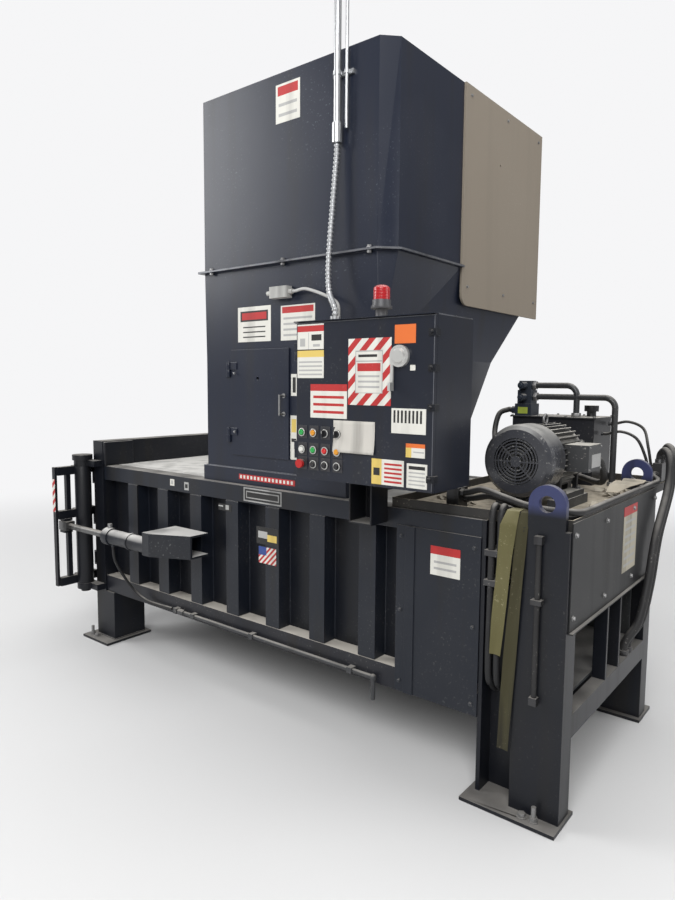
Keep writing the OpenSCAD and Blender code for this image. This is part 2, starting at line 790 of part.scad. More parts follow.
conduit_r = 17;
thin_r = 8;
conduit_x = encl_x0 + 9;
conduit_y = chute_y0 - 32;
conduit_z0 = z_joint + 600;
conduit_top = z_rim + 240;
coupling_h = 90;
strap_z = z_rim - 120;
module rigid_conduit() {
    color("#9a9da1") {
        upright(conduit_x, conduit_y, conduit_z0, conduit_top, conduit_r);
        upright(conduit_x, conduit_y, conduit_z0 - coupling_h, conduit_z0, conduit_r + 7);
        upright(conduit_x + 48, conduit_y + 10, conduit_z0 - 30, conduit_top, thin_r);
        // Strap and its channel on the hopper's face
        block([conduit_x - 40, chute_y0 - 15, strap_z - 10], [conduit_x + 80, chute_y0, strap_z + 10]);
        translate([0, 0, strap_z - 9]) upright(conduit_x, conduit_y, 0, 18, conduit_r + 4);
        translate([0, 0, strap_z - 9]) upright(conduit_x + 48, conduit_y + 10, 0, 18, thin_r + 4);
        // Gland of the flexible length on the enclosure
        translate(flex_end - [0, 0, 34]) cylinder(h = 34, r = flex_r + 8);
    }
}

function unit(v) = v / norm(v);
// Ring of points round a path point, turned to lie closest to the last one
function carried(c, d, u0, r, n) = let (u = unit(u0 - d * (u0 * d) / (d * d)), w = unit(cross(d, u)))
    [for (i = [0 : n - 1]) c + r * (u * cos(360 * i / n) + w * sin(360 * i / n))];
function spline(p, i, t) = let (a = p[max(i - 1, 0)], b = p[i], c = p[i + 1], d = p[min(i + 2, len(p) - 1)])
    0.5 * (2 * b + (c - a) * t + (2 * a - 5 * b + 4 * c - d) * t * t + (3 * b - a - 3 * c + d) * t * t * t);
function smooth(p, k) = concat([for (i = [0 : len(p) - 2], j = [0 : k - 1]) spline(p, i, j / k)],
    [p[len(p) - 1]]);
function heading(p, i) = p[min(i + 1, len(p) - 1)] - p[max(i - 1, 0)];
// Closed tube along the points of a path
module swept_tube(path, r, k, n = 10) {
    p = smooth(path, k);
    u0 = unit(cross(heading(p, 0), [0.31, 0.59, 0.74]));
    m = len(p);
    points = [for (i = [0 : m - 1]) each carried(p[i], heading(p, i), u0, r, n)];
    sides = [for (i = [0 : m - 2], j = [0 : n - 1]) let (a = i * n + j, b = i * n + (j + 1) % n)
        each [[a, b, b + n], [a, b + n, a + n]]];
    caps = [[for (j = [n - 1 : -1 : 0]) j], [for (j = [0 : n - 1]) (m - 1) * n + j]];
    polyhedron(points, concat([for (s = sides) [s[2], s[1], s[0]]],
        [for (c = caps) [for (j = [len(c) - 1 : -1 : 0]) c[j]]]));
}

flex_r = 15;
flex_end = [encl_x0 + 92, encl_y0 + 150, encl_z1 + encl_t + 34];
module flex_conduit() {
    color("#8e9296") {
        swept_tube([[conduit_x, conduit_y, conduit_z0 - coupling_h + 12], [conduit_x, conduit_y,
            conduit_z0 - coupling_h], [conduit_x, conduit_y - 2, conduit_z0 - coupling_h - 60],
            [conduit_x - 20, conduit_y - 14, conduit_z0 - 340], [conduit_x - 40, conduit_y - 28,
                conduit_z0 - 640],
            [conduit_x - 12, conduit_y - 40, conduit_z0 - 780], flex_end + [-14, 8, 60], flex_end + [0,
                0, 24], flex_end - [0, 0, 12]], flex_r, 4);
    }
}

switch_x = chute_x0 + 546;
switch_z = z_joint - 180;
module switch_box() {
    color("#b4b6b4") {
        round_plate([switch_x, chute_y0 - 48, switch_z], [switch_x + 126, chute_y0, switch_z + 58], 8);
        translate([switch_x, chute_y0 - 24, switch_z + 29]) rotate([0, -90, 0]) cylinder(h = 30, r = 12);
        // Glands of the cable on the switch and on the enclosure
        translate([switch_x + 126, chute_y0 - 24, switch_z + 29]) rotate([0, 90, 0]) cylinder(h = 22,
            r = 13);
        translate(cable_end) cylinder(h = 22, r = 13);
    }
}
cable_r = 8;
cable_end = [encl_x0 + 30, encl_y1 - 40, encl_z1 + encl_t];
module switch_cable() {
    color("#a6a8a8") swept_tube([[switch_x + 136, chute_y0 - 24, switch_z + 29], [switch_x + 170,
        chute_y0 - 25, switch_z + 30],
        [switch_x + 260, chute_y0 - 34, switch_z + 30], cable_end + [-16, -6, 120], cable_end + [2, 2,
            50], cable_end + [0, 0, 12]], cable_r, 4, 8);
}

pipe_r = 11;
pipe_y = -y_side - 22;
pipe_z = z_rail + 36;
pipe_x0 = x_body + 800;
pipe_x1 = encl_x0 + 285;
module floor_pipe() {
    color("#33363b") {
        translate([pipe_x0, pipe_y, pipe_z]) rotate([0, 90, 0]) cylinder(h = pipe_x1 - pipe_x0, r = pipe_r);
        translate([pipe_x1, pipe_y, pipe_z]) sphere(pipe_r + 5);
        upright(pipe_x1, pipe_y, pipe_z - 110, pipe_z, pipe_r);
        // Clips on the rail
        for (x = [pipe_x0 + 130, pipe_x0 + 630, pipe_x1 - 150])
            block([x, pipe_y - pipe_r - 4, pipe_z - pipe_r - 4], [x + 30, -y_side, pipe_z + pipe_r + 4]);
        // Union and elbow at the door end
        translate([pipe_x0 + 10, pipe_y, pipe_z]) rotate([0, 90, 0]) cylinder(h = 50, r = pipe_r + 8,
            $fn = 6);
        block([pipe_x0 - 30, pipe_y - 16, pipe_z - 16], [pipe_x0, -y_side, pipe_z + 16]);
    }
}

bay_y = -y_side - 9;
hose_r = 14;
hose_xs = [x_bay + 30, x_bay + 68];
post_hose_x = x_post + 98;
post_hose_y = -rear_y - 14;
web_y = -y_wall + wall_t - web_t;
hose_end_z = z_rail + 130;
hose_block_y = deck_y0 + 90;
module hose_fittings() {
    color("#5f6266") {
        // Block on the deck that the pair of hoses leaves
        block([hose_xs[0] - 24, hose_block_y, z_deck], [hose_xs[1] + 24, hose_block_y + 40, z_deck + 44]);
        for (x = hose_xs) {
            translate([x, hose_block_y, z_deck + 22]) rotate([90, 0, 0]) cylinder(h = 16, r = 18, $fn = 6);
            translate([x, web_y, hose_end_z]) rotate([90, 0, 0]) cylinder(h = 24, r = 18, $fn = 6);
        }
        // Clamps on the web
        for (z = [z_rib_top - 34, z_rib_top - 160]) difference() {
            block([hose_xs[0] - 24, bay_y - hose_r - 5, z - 12], [hose_xs[1] + 24, web_y, z + 12]);
            for (x = hose_xs) upright(x, bay_y, z - 13, z + 13, hose_r - 0.5);
        }
        // Clamp and end fittings of the single hose on the post
        difference() {
            block([post_hose_x - 22, post_hose_y - 18, z_rail + 566], [post_hose_x + 22, -rear_y,
                z_rail + 586]);
            upright(post_hose_x, post_hose_y, z_rail + 565, z_rail + 587, thin_hose_r - 0.5);
        }
        for (z = [z_rail + 170, z_top - 40])
            block([post_hose_x - 16, post_hose_y - 16, z - 16], [post_hose_x + 16, -rear_y, z + 16]);
        manifolds();
    }
}
thin_hose_r = 11;
module rear_hoses() {
    color("#1c1e21") {
        for (x = hose_xs) swept_tube([[x, hose_block_y - 6, z_deck + 22], [x, hose_block_y - 40,
            z_deck + 26],
            [x, deck_y0 + 4, z_top + lip_h + 20], [x, bay_y, z_top + lip_h - 16], [x, bay_y, z_top - 40],
            [x, bay_y, z_rib_top - 200], [x, bay_y, z_rail + 230], [x, web_y - 60, hose_end_z + 24],
            [x, web_y - 30, hose_end_z], [x, web_y - 14, hose_end_z]], hose_r, 2, 8);
        swept_tube([[post_hose_x, post_hose_y, z_top - 50], [post_hose_x, post_hose_y, z_rib_top - 200],
            [post_hose_x, post_hose_y, z_rail + 180]], thin_hose_r, 2, 8);
    }
}

// Motor

motor_x = deck_x0 + 500;
motor_y0 = -y_side + 230;
motor_z = z_deck + shaft_rise;
cowl_l = 150;
frame_r = cowl_r - 30;
frame_l = 330;
fin_h = 22;
fin_t = 5;
shaft_r = 24;
module along_motor() {
    translate([motor_x, motor_y0, motor_z]) rotate([-90, 0, 0]) children();
}
module motor_body() {
    color("#35383b") {
        along_motor() translate([0, 0, cowl_l]) difference() {
            union() {
                cylinder(h = frame_l, r = frame_r);
                // Cooling fins
                for (i = [0 : fin_count - 1]) rotate(i * 360 / fin_count)
                    translate([frame_r - 4, -fin_t / 2, 20]) cube([fin_h + 4, fin_t, frame_l - 50]);
                translate([0, 0, frame_l]) cylinder(h = 30, r1 = frame_r, r2 = frame_r - 30);
                // Bosses that the cowl is screwed to
                intersection() {
                    for (a = [45 : 90 : 315]) rotate(a) translate([frame_r - 6, -12, 0]) cube([40, 24, 10]);
                    cylinder(h = 10, r = cowl_r - 4);
                }
            }
            translate([0, 0, -e]) cylinder(h = 40, r = shaft_r + gap);
        }
        // Feet and terminal box
        for (s = [-1, 1]) block([motor_x + s * 125 - 30, motor_y0 + cowl_l + 40, z_deck + 44],
            [motor_x + s * 125 + 30, motor_y0 + cowl_l + frame_l - 40, z_deck + 70]);
        for (s = [-1, 1], y = [motor_y0 + cowl_l + 50, motor_y0 + cowl_l + frame_l - 70])
            block([motor_x + s * 118 - 10, y, z_deck + 60], [motor_x + s * 118 + 10, y + 20, motor_z - 20]);
        block([motor_x + frame_r - 20, motor_y0 + cowl_l + 70, motor_z - 50],
            [motor_x + frame_r + 110, motor_y0 + cowl_l + 240, motor_z + 70]);
        // Rails under the feet
        for (s = [-1, 1]) block([motor_x + s * 125 - 35, motor_y0 + cowl_l, z_deck],
            [motor_x + s * 125 + 35, motor_y0 + cowl_l + frame_l, z_deck + 44]);
    }
}
guard_rings = 5;
guard_step = 14;
module fan_cowl() {
    color("#3c3f43") along_motor() {
        difference() {
            rotate_extrude() polygon([[cowl_r - 60, 0], [cowl_r - 22, 4], [cowl_r - 6, 20], [cowl_r, 44],
                [cowl_r, cowl_l + 10], [cowl_r - 4, cowl_l + 10], [cowl_r - 4, 46], [cowl_r - 10, 23],
                    [cowl_r - 24, 8], [cowl_r - 60, 4]]);
        }
        // Rings and spokes of the guard
        for (i = [1 : guard_rings]) difference() {
            cylinder(h = 4, r = cowl_r - 60 - (i - 1) * guard_step - guard_step / 2 + 3);
            translate([0, 0, -e]) cylinder(h = 4 + 2 * e,
                r = cowl_r - 60 - (i - 1) * guard_step - guard_step / 2 - 3);
        }
        for (a = [0 : 45 : 135]) rotate(a) translate([-(cowl_r - 57), -2.5,
            0.8]) cube([2 * (cowl_r - 57), 5, 2.4]);
        cylinder(h = 4, r = 24);
    }
}
blade_count = 7;
module motor_fan() {
    color("#5c5f63") along_motor() {
        translate([0, 0, 30]) cylinder(h = cowl_l - 30 + 38, r = shaft_r);
        translate([0, 0, 34]) cylinder(h = 60, r = shaft_r + 18);
        for (i = [0 : blade_count - 1]) rotate(i * 360 / blade_count)
            translate([shaft_r + 10, -3, 40]) cube([cowl_r - 26 - shaft_r - 10, 6, 53]);
        translate([0, 0, 90]) cylinder(h = 5, r = cowl_r - 22);
    }
}
bell_y = motor_y0 + cowl_l + frame_l + 30;
module pump() {
    color("#2e3134") {
        translate([motor_x, bell_y, motor_z]) rotate([-90, 0, 0]) {
            cylinder(h = 14, r = 110);
            translate([0, 0, 14]) cylinder(h = 96, r1 = 100, r2 = 70);
            translate([0, 0, 110]) cylinder(h = 12, r = 84);
            translate([-50, -50, 122]) cube([100, 100, 100]);
            translate([0, 0, 222]) cylinder(h = 20, r = 40);
            // Ports for the hoses
            translate([0, 0, 172]) rotate([0, 90, 0]) translate([0, 0, -80]) cylinder(h = 160, r = 22);
        }
        block([motor_x - 40, bell_y + 30, z_deck], [motor_x + 40, bell_y + 80, motor_z - 70]);
    }
}

// Oil tank with its lid, filler and the valve stack

tank_x0 = deck_x0 + 20;
tank_y0 = rear_y + 14;
port_x = tank_x0 + tank_l - 60;
module oil_tank() {
    color("#26292f") {
        difference() {
            block([tank_x0, tank_y0, z_deck], [tank_x0 + tank_l, tank_y0 + tank_w, z_deck + tank_h]);
            block([tank_x0 + 5, tank_y0 + 5, z_deck + 5], [tank_x0 + tank_l - 5, tank_y0 + tank_w - 5,
                z_deck + tank_h - 5]);
        }
        block([tank_x0 - 12, tank_y0 - 12, z_deck + tank_h], [tank_x0 + tank_l + 12,
            tank_y0 + tank_w + 12, z_deck + tank_h + 8]);
        translate([port_x, tank_y0, z_deck + 60]) rotate([90, 0, 0]) cylinder(h = 24, r = 22);
        translate([tank_x0 + tank_l - 80, tank_y0 + 190, z_deck + tank_h + 8]) {
            cylinder(h = 30, r = 26);
            translate([0, 0, 30]) cylinder(h = 34, r = 40);
        }
    }
}
stack_x = tank_x0 + 60;
stack_y = tank_y0 + 62;
stack_z = z_deck + tank_h + 8;
module valve_stack() {
    color("#3b4d5e") translate([stack_x, stack_y, stack_z]) {
        block([-50, -60, 0], [50, 60, 70]);
        block([-42, -45, 70], [42, 45, 150]);
        block([-36, -40, 150], [36, 40, 205]);
        // Solenoids on both sides of each section
        for (z = [108, 178], s = [-1, 1]) translate([0, s * 40, z]) rotate([-s * 90, 0, 0]) {
            cylinder(h = 60, r = 20);
            translate([0, 0, 60]) cylinder(h = 10, r = 10);
        }
        translate([-50, 0, 30]) rotate([0, -90, 0]) cylinder(h = 40, r = 22);
    }
}

// Steel pipes with swept bends from the valve stack

pressure_r = 17;
pipe_bend = 60;
// Quarter bend that starts along +X at the origin and ends going down
module quarter_bend() {
    translate([0, 0, -pipe_bend]) rotate([90, 0, 0]) rotate_extrude(angle = 90)
        translate([pipe_bend, 0]) circle(pressure_r);
}
// Pipe that leaves the stack along +X and turns down to the given height
module bent_pipe(x0, x1, z0, z1) {
    translate([x0, stack_y, z1]) rotate([0, 90, 0]) cylinder(h = x1 - pipe_bend - x0, r = pressure_r);
    translate([x1 - pipe_bend, stack_y, z1]) quarter_bend();
    translate([x1, stack_y, z0]) cylinder(h = z1 - pipe_bend - z0, r = pressure_r);
}
module pressure_pipes() {
    color("#2c2f33") {
        // Return into the tank's lid, and feed down to the deck past the tank's end
        bent_pipe(stack_x + 36, stack_x + 296, stack_z, stack_z + 178);
        bent_pipe(stack_x + 42, tank_x0 + tank_l + 90, z_deck, stack_z + 112);
    }
}

// Hoses on the deck: between pump and tank, from the manifold round the near ear and along
// the rear edge to the corner's valve block, and from there down the back to the lower beam

deck_hose_r = 16;
pump_y = bell_y + 172;
run_hose_r = 14;
down_hose_r = 20;
start_x = x_bay - 184;
start_y = deck_y0 + 103;
edge_x = x_rear - 2;
edge_z = z_top + lip_h + run_hose_r + 0.6;
corner_y = tank_y0 + 116;
down_y = y_side - 290;
down_x = x_rear - 25;
// Clear of the way into the far lifting eye
corner_x0 = x_eye + eye_r + 5;
corner_x = x_rear - 30;
module manifolds() {
    block([start_x - 60, start_y - 25, z_deck], [start_x, start_y + 60, z_deck + 100]);
    for (p = [[0, 79], [34, 51]]) translate([start_x, start_y + p[0], z_deck + p[1]])
        rotate([0, 90, 0]) cylinder(h = 18, r = 19, $fn = 6);
    // Elbow block in front of the far ear
    block([x_rear - 80, rear_y - 70, z_deck], [x_rear - 20, rear_y - 34, z_deck + 60]);
    // Valve block at the far rear corner
    block([corner_x0, corner_y, z_deck], [x_rear - 8, corner_y + 150, z_deck + 140]);
    translate([x_rear - 40, corner_y, z_deck + 79]) rotate([90, 0, 0]) cylinder(h = 18, r = 19, $fn = 6);
    for (y = [corner_y + 40, corner_y + 104]) upright(corner_x, y, z_deck + 140, z_deck + 160, 24);
    // Ends on the lower beam
    for (y = [down_y, down_y - 60]) upright(down_x, y, z_rail + beam_h, z_rail + beam_h + 26, 25);
}
module run_hoses() {
    swept_tube([[start_x + 12, start_y, z_deck + 79], [start_x + 50, start_y - 8, z_deck + 88],
        [start_x + 130, start_y - 50, z_deck + 111], [start_x + 230, start_y - 77, z_deck + 96],
        [x_eye - 116, start_y - 89, z_deck + 76], [x_eye - 36, start_y - 87, z_deck + 66],
        [x_eye + 44, start_y - 65, z_deck + 62], [edge_x - 8, start_y - 15, edge_z + 3], [edge_x,
            start_y + 55, edge_z],
        [edge_x, start_y + 300, edge_z], [edge_x, corner_y - 260, edge_z], [edge_x, corner_y - 110, edge_z],
        [edge_x - 8, corner_y - 70, edge_z + 8], [x_rear - 44, corner_y - 40, z_deck + 76],
        [x_rear - 40, corner_y - 26, z_deck + 79], [x_rear - 40, corner_y - 12, z_deck + 79]],
            run_hose_r, 3, 8);
    swept_tube([[start_x + 12, start_y + 34, z_deck + 51], [start_x + 54, start_y + 26, z_deck + 57],
        [start_x + 140, start_y - 13, z_deck + 79], [start_x + 230, start_y - 43, z_deck + 77],
        [x_eye - 116, start_y - 53, z_deck + 51], [x_eye - 36, start_y - 51, z_deck + 35],
        [x_rear - 60, start_y - 28, z_deck + 29], [x_rear - 35, start_y + 25, z_deck + 28], [x_rear - 34,
            start_y + 95, z_deck + 27],
        [x_rear - 36, start_y + 400, z_deck + 17], [x_rear - 44, rear_y - 200, z_deck + 20],
        [x_rear - 50, rear_y - 98, z_deck + 30], [x_rear - 50, rear_y - 66, z_deck + 32]], run_hose_r, 3, 8);
}
module down_hoses() {
    for (k = [0, 1]) {
        y1 = corner_y + 104 - 64 * k;
        y2 = down_y - 60 * k;
        swept_tube([[corner_x, y1, z_deck + 150], [corner_x, y1, z_deck + 176], [corner_x + 10, y1 - 6,
            z_deck + 216],
            [x_rear + 8, y1 - 34, z_deck + 232 - 20 * k], [x_rear + 46, y1 - 90, z_deck + 170 - 20 * k],
            [x_rear + 54, y1 - 170, z_deck], [x_rear + 50, y2 + 170, z_floor + 550], [x_rear + 46,
                y2 + 100, z_floor + 330],
            [x_rear + 30, y2 + 40, z_floor + 160], [x_rear - 8, y2 + 8, z_floor + 80], [down_x, y2,
                z_floor + 36],
            [down_x, y2, z_floor + 6]], down_hose_r, 3, 8);
    }
}
module deck_hoses() {
    color("#1a1b1d") {
        swept_tube([[motor_x - 68, pump_y, motor_z], [motor_x - 90, pump_y, motor_z], [motor_x - 150,
            pump_y - 10, motor_z - 20],
            [stack_x - 60, stack_y - 210, motor_z - 40], [stack_x - 150, stack_y - 110, motor_z + 40],
            [stack_x - 160, stack_y - 40, stack_z], [stack_x - 120, stack_y, stack_z + 30],
                [stack_x - 96, stack_y, stack_z + 30],
            [stack_x - 78, stack_y, stack_z + 30]], deck_hose_r, 3, 8);
        swept_tube([[motor_x + 68, pump_y, motor_z], [motor_x + 90, pump_y, motor_z], [motor_x + 150,
            pump_y + 10, motor_z - 50],
            [motor_x + 150, pump_y + 40, z_deck + 70], [port_x + 56, tank_y0 - 130, z_deck + 60],
            [port_x + 8, tank_y0 - 60, z_deck + 60], [port_x, tank_y0 - 30, z_deck + 60],
            [port_x, tank_y0 - 16, z_deck + 60]], deck_hose_r, 3, 8);
        run_hoses();
        down_hoses();
    }
}

// Bale door on the far side's hinge pins

door_x1 = x_portal - 4;
door_x0 = door_x1 - door_t;
door_z0 = z_floor - 30;
hinge_out = 60;
door_hinge_x = x_portal - 40;
door_hinge_y = portal_y + hinge_out;
lug_t = 40;
lug_zs = [door_z0 + 60, door_z0 + door_h - 60 - 2 * lug_t];
door_y_near = -y_side + 40;
module bale_door() {
    color("#20242b") {
        block([door_x0, door_y_near, door_z0], [door_x1, y_side - 20, door_z0 + door_h]);
        // Horizontal beams and the edge bar that the latch holds
        for (z = [door_z0 + 60, door_z0 + door_h / 2 - 50, door_z0 + door_h - 160])
            difference() {
                block([door_x0 - door_beam_d, door_y_near, z], [door_x0, y_side - 20, z + 100]);
                block([door_x0 - door_beam_d + 10, door_y_near - e, z + 10], [door_x0 + e, y_side, z + 90]);
            }
        block([door_x0 - 40, door_y_near, door_z0], [door_x0, door_y_near + 40, door_z0 + door_h]);
        // Hinge straps
        for (z = lug_zs) translate([0, 0, z + lug_t + pin_gap]) difference() {
            union() {
                upright(door_hinge_x, door_hinge_y, 0, lug_t - gap, door_pin_r + 26);
                block([door_x0, y_side - 60, 0], [door_x1, door_hinge_y, lug_t - gap]);
                block([door_hinge_x, y_side - 20, 0], [door_x1, door_hinge_y, lug_t - gap]);
            }
            upright(door_hinge_x, door_hinge_y, -e, lug_t + e, door_pin_r + pin_gap);
        }
    }
}
module door_pins() {
    color("#54575b") for (z = lug_zs) {
        difference() {
            union() {
                upright(door_hinge_x, door_hinge_y, z, z + lug_t, door_pin_r + 24);
                block([door_hinge_x, portal_y, z], [x_body - 20, door_hinge_y, z + lug_t]);
            }
            block([x_portal - 200, 0, z - 1], [x_portal, portal_y - 30, z + lug_t + 1]);
        }
        upright(door_hinge_x, door_hinge_y, z, z + 2 * lug_t + 12, door_pin_r);
        upright(door_hinge_x, door_hinge_y, z + 2 * lug_t + gap, z + 2 * lug_t + 12, door_pin_r + 8);
    }
}

// Latch: a ladder frame that turns on an upright pin and hooks round the door's edge

pivot_x = x_portal - 40;
pivot_y = -portal_y - 60;
latch_z0 = z_rail + 50;
latch_z1 = z_top - 5;
arm_h = 56;
cheek_t = 14;
rod_end_h = 60;
bay_h = rod_end_h + 8;
arm_zs = [latch_z0, lock_z + bay_h / 2 + cheek_t, latch_z1 - arm_h];
sleeve_r = latch_pin_r + 22;
rest_turn = latch_turn / 2;
drive_x = pivot_x - latch_r * sin(rest_turn);
drive_y = pivot_y - latch_r * cos(rest_turn);
drive_pin_r = 18;
jaw_x1 = door_x0 - 42;
jaw_x0 = jaw_x1 - 50;
ladder_y = pivot_y - latch_r - 70;
ladder_t = 16;
module latch_frame() {
    color("#1f2228") {
        difference() {
            union() {
                upright(pivot_x, pivot_y, latch_z0, latch_z1, sleeve_r);
                for (z = arm_zs) {
                    // Arm out to the ladder
                    block([pivot_x - 56, ladder_y + ladder_t, z], [pivot_x - 14, pivot_y, z + arm_h]);
                    // Jaw beside the door's edge
                    block([jaw_x0, pivot_y - 40, z], [pivot_x, pivot_y + 30, z + arm_h]);
                    block([jaw_x0, pivot_y, z], [jaw_x1, door_y_near - 3 * gap, z + arm_h]);
                }
                // Uprights of the ladder
                block([pivot_x - 64, ladder_y, latch_z0], [pivot_x - 30, ladder_y + ladder_t, latch_z1]);
                block([pivot_x - 50, pivot_y - 110, latch_z0], [pivot_x - 20, pivot_y - 80, latch_z1]);
            }
            upright(pivot_x, pivot_y, latch_z0 - 1, latch_z1 + 1, latch_pin_r + pin_gap);
            // Bay for the rod end
            block([pivot_x - 120, drive_y - 40, lock_z - bay_h / 2], [pivot_x, drive_y + 34,
                lock_z + bay_h / 2]);
        }
        // Drive pin between two cheeks
        for (z = [lock_z - bay_h / 2 - cheek_t, lock_z + bay_h / 2])
            block([drive_x - 30, drive_y - 30, z], [pivot_x - 10, drive_y + 30, z + cheek_t]);
        upright(drive_x, drive_y, lock_z - bay_h / 2 - cheek_t, lock_z + bay_h / 2 + cheek_t, drive_pin_r);
    }
}
lug_h = 40;
module latch_pivot() {
    color("#3d4045") {
        upright(pivot_x, pivot_y, latch_z0 - lug_h - 20, latch_z1 + lug_h + 30, latch_pin_r);
        // Cap on the pin's head
        upright(pivot_x, pivot_y, latch_z1 + lug_h + pin_gap, latch_z1 + lug_h + 36, latch_pin_r + 34);
        // Lugs from the portal post
        for (z = [latch_z0 - lug_h - pin_gap, latch_z1 + pin_gap]) {
            upright(pivot_x, pivot_y, z, z + lug_h, latch_pin_r + 24);
            block([pivot_x, pivot_y, z], [x_body - 10, -portal_y, z + lug_h]);
        }
    }
}

// Latch cylinder on its bracket, with a slotted rod end that rides on the drive pin

lock_y = pivot_y - latch_r * (1 + cos(rest_turn)) / 2;
lock_travel = 2 * latch_r * sin(rest_turn);
lock_x1 = x_body + 760;
lock_barrel_l = 450;
lock_x0 = lock_x1 - lock_barrel_l;
bracket_l = 300;
bracket_h = 84;
module lock_cylinder() {
    color("#3a3c40") {
        translate([lock_x0, lock_y, lock_z]) rotate([0, 90, 0]) difference() {
            union() {
                cylinder(h = lock_barrel_l, r = lock_barrel_r);
                cylinder(h = 60, r = lock_barrel_r + 8);
                translate([0, 0, 0.55 * lock_barrel_l]) cylinder(h = 18, r = lock_barrel_r + 5);
            }
            translate([0, 0, -e]) cylinder(h = lock_barrel_l - 40, r = lock_rod_r + pin_gap);
        }
        // Tapered bracket that carries the barrel off the side ribs
        for (z = [lock_z - 40, lock_z + bracket_h]) translate([0, 0, z]) linear_extrude(12)
            polygon([[lock_x1, -y_side], [lock_x1 + bracket_l, -y_side], [lock_x1 + bracket_l,
                -y_side - 130],
                [lock_x1 + 60, lock_y - 60], [lock_x1, lock_y - 60]]);
        block([lock_x1, lock_y - 60, lock_z - 28], [lock_x1 + 12, -y_side, lock_z + bracket_h]);
        translate([0, 0, lock_z - 28]) linear_extrude(bracket_h + 28)
            polygon([[lock_x1 + bracket_l, -y_side - 130], [lock_x1 + bracket_l, -y_side - 118],
                [lock_x1 + 60, lock_y - 48], [lock_x1, lock_y - 48], [lock_x1, lock_y - 60],
                    [lock_x1 + 60, lock_y - 60]]);
    }
}
rod_in = 200;
rod_end_l = 60;
slot_half = drive_pin_r + 1;
module lock_rod() {
    color("#8f9296") difference() {
        union() {
            translate([drive_x, lock_y, lock_z]) rotate([0, 90,
                0]) cylinder(h = lock_x0 + rod_in - drive_x, r = lock_rod_r);
            block([drive_x - 32, lock_y - 32, lock_z - rod_end_h / 2], [drive_x + rod_end_l, lock_y + 32,
                lock_z + rod_end_h / 2]);
        }
        // Slot for the drive pin
        slot_y = latch_r * (1 - cos(rest_turn)) / 2 + 1;
        for (s = [-1, 1]) upright(drive_x, lock_y + s * slot_y, lock_z - rod_end_h, lock_z + rod_end_h,
            slot_half);
        block([drive_x - slot_half, lock_y - slot_y, lock_z - rod_end_h], [drive_x + slot_half,
            lock_y + slot_y, lock_z + rod_end_h]);
    }
}

// Ram with its two-stage cylinder

ram_gap = 2;
ram_x0 = feed_x1 + 40;
ram_l = x_rear - beam_l - ram_back_gap - ram_x0;
ram_z0 = z_floor + 0.3;
ram_z1 = z_roof - 3;
ram_mid = (ram_z0 + ram_z1) / 2;
ram_plate_t = 12;
module ram_carriage() {
    color("#40454c") {
        difference() {
            block([ram_x0, -inner_w / 2 + ram_gap, ram_z0], [ram_x0 + ram_l, inner_w / 2 - ram_gap, ram_z1]);
            block([ram_x0 + ram_face_t, -inner_w / 2 + ram_gap + ram_plate_t, ram_z0 + ram_plate_t],
                [ram_x0 + ram_l + e, inner_w / 2 - ram_gap - ram_plate_t, ram_z1 - ram_plate_t]);
        }
        translate([ram_x0 + ram_face_t, 0, ram_mid]) rotate([0, 90, 0]) {
            cylinder(h = 20, r = ram_rod_r + 40);
            cylinder(h = ram_rod_end - ram_x0 - ram_face_t, r = ram_rod_r);
        }
    }
}
ram_anchor_x = x_rear - beam_l;
ram_barrel_x0 = ram_x0 + ram_face_t + 110;
ram_rod_end = ram_anchor_x - 130;
sleeve_l = ram_anchor_x - 90 - ram_barrel_x0 + 40;
ram_sleeve_travel = 0.52 * ram_stroke;
module ram_cylinder() {
    color("#4b5056") {
        translate([ram_barrel_x0, 0, ram_mid]) rotate([0, 90, 0]) difference() {
            cylinder(h = ram_anchor_x - 60 - ram_barrel_x0, r = ram_barrel_r);
            translate([0, 0, -e]) cylinder(h = ram_anchor_x - 90 - ram_barrel_x0,
                r = ram_sleeve_r + pin_gap);
        }
        // Foot that is bolted to the thrust beams
        block([ram_anchor_x - 60, -60, ram_mid - 70], [ram_anchor_x - 20, 60, ram_mid + 70]);
        block([ram_anchor_x - 20, -125, ram_mid - 90], [ram_anchor_x, 125, ram_mid + 90]);
    }
}
module ram_sleeve() {
    color("#9ba0a5") translate([ram_barrel_x0 - 40, 0, ram_mid]) rotate([0, 90, 0]) difference() {
        cylinder(h = sleeve_l - gap, r = ram_sleeve_r);
        translate([0, 0, -e]) cylinder(h = sleeve_l - 20, r = ram_rod_r + pin_gap);
    }
}

chamber_floor();
floor_bearers();
chamber_roof();
wall_near();
wall_far();
side_ribs();
top_rails();
bottom_rails();
portal_frame();
rear_frame();
levelling_bolts();
side_panel();
rear_cover();
deck_tray();
hopper_curb();
hopper_chute();
hopper_box();
flange_bolts();
hopper_board();
access_hinge();
access_door();
access_pull();
enclosure_box();
enclosure_bracket();
enclosure_door();
door_clamps();
button_bezels();
selector_left();
selector_right();
stop_button();
button_left();
button_middle();
button_right();
disconnect_handle();
beacon_base();
beacon_lens();
rigid_conduit();
flex_conduit();
switch_box();
switch_cable();
floor_pipe();
hose_fittings();
rear_hoses();
deck_hoses();
motor_body();
fan_cowl();
motor_fan();
pump();
oil_tank();
valve_stack();
pressure_pipes();
bale_door();
door_pins();
latch_frame();
latch_pivot();
lock_cylinder();
lock_rod();
ram_cylinder();
ram_sleeve();
ram_carriage();
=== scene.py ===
import math

import bmesh
import bpy
from mathutils import Matrix, Vector


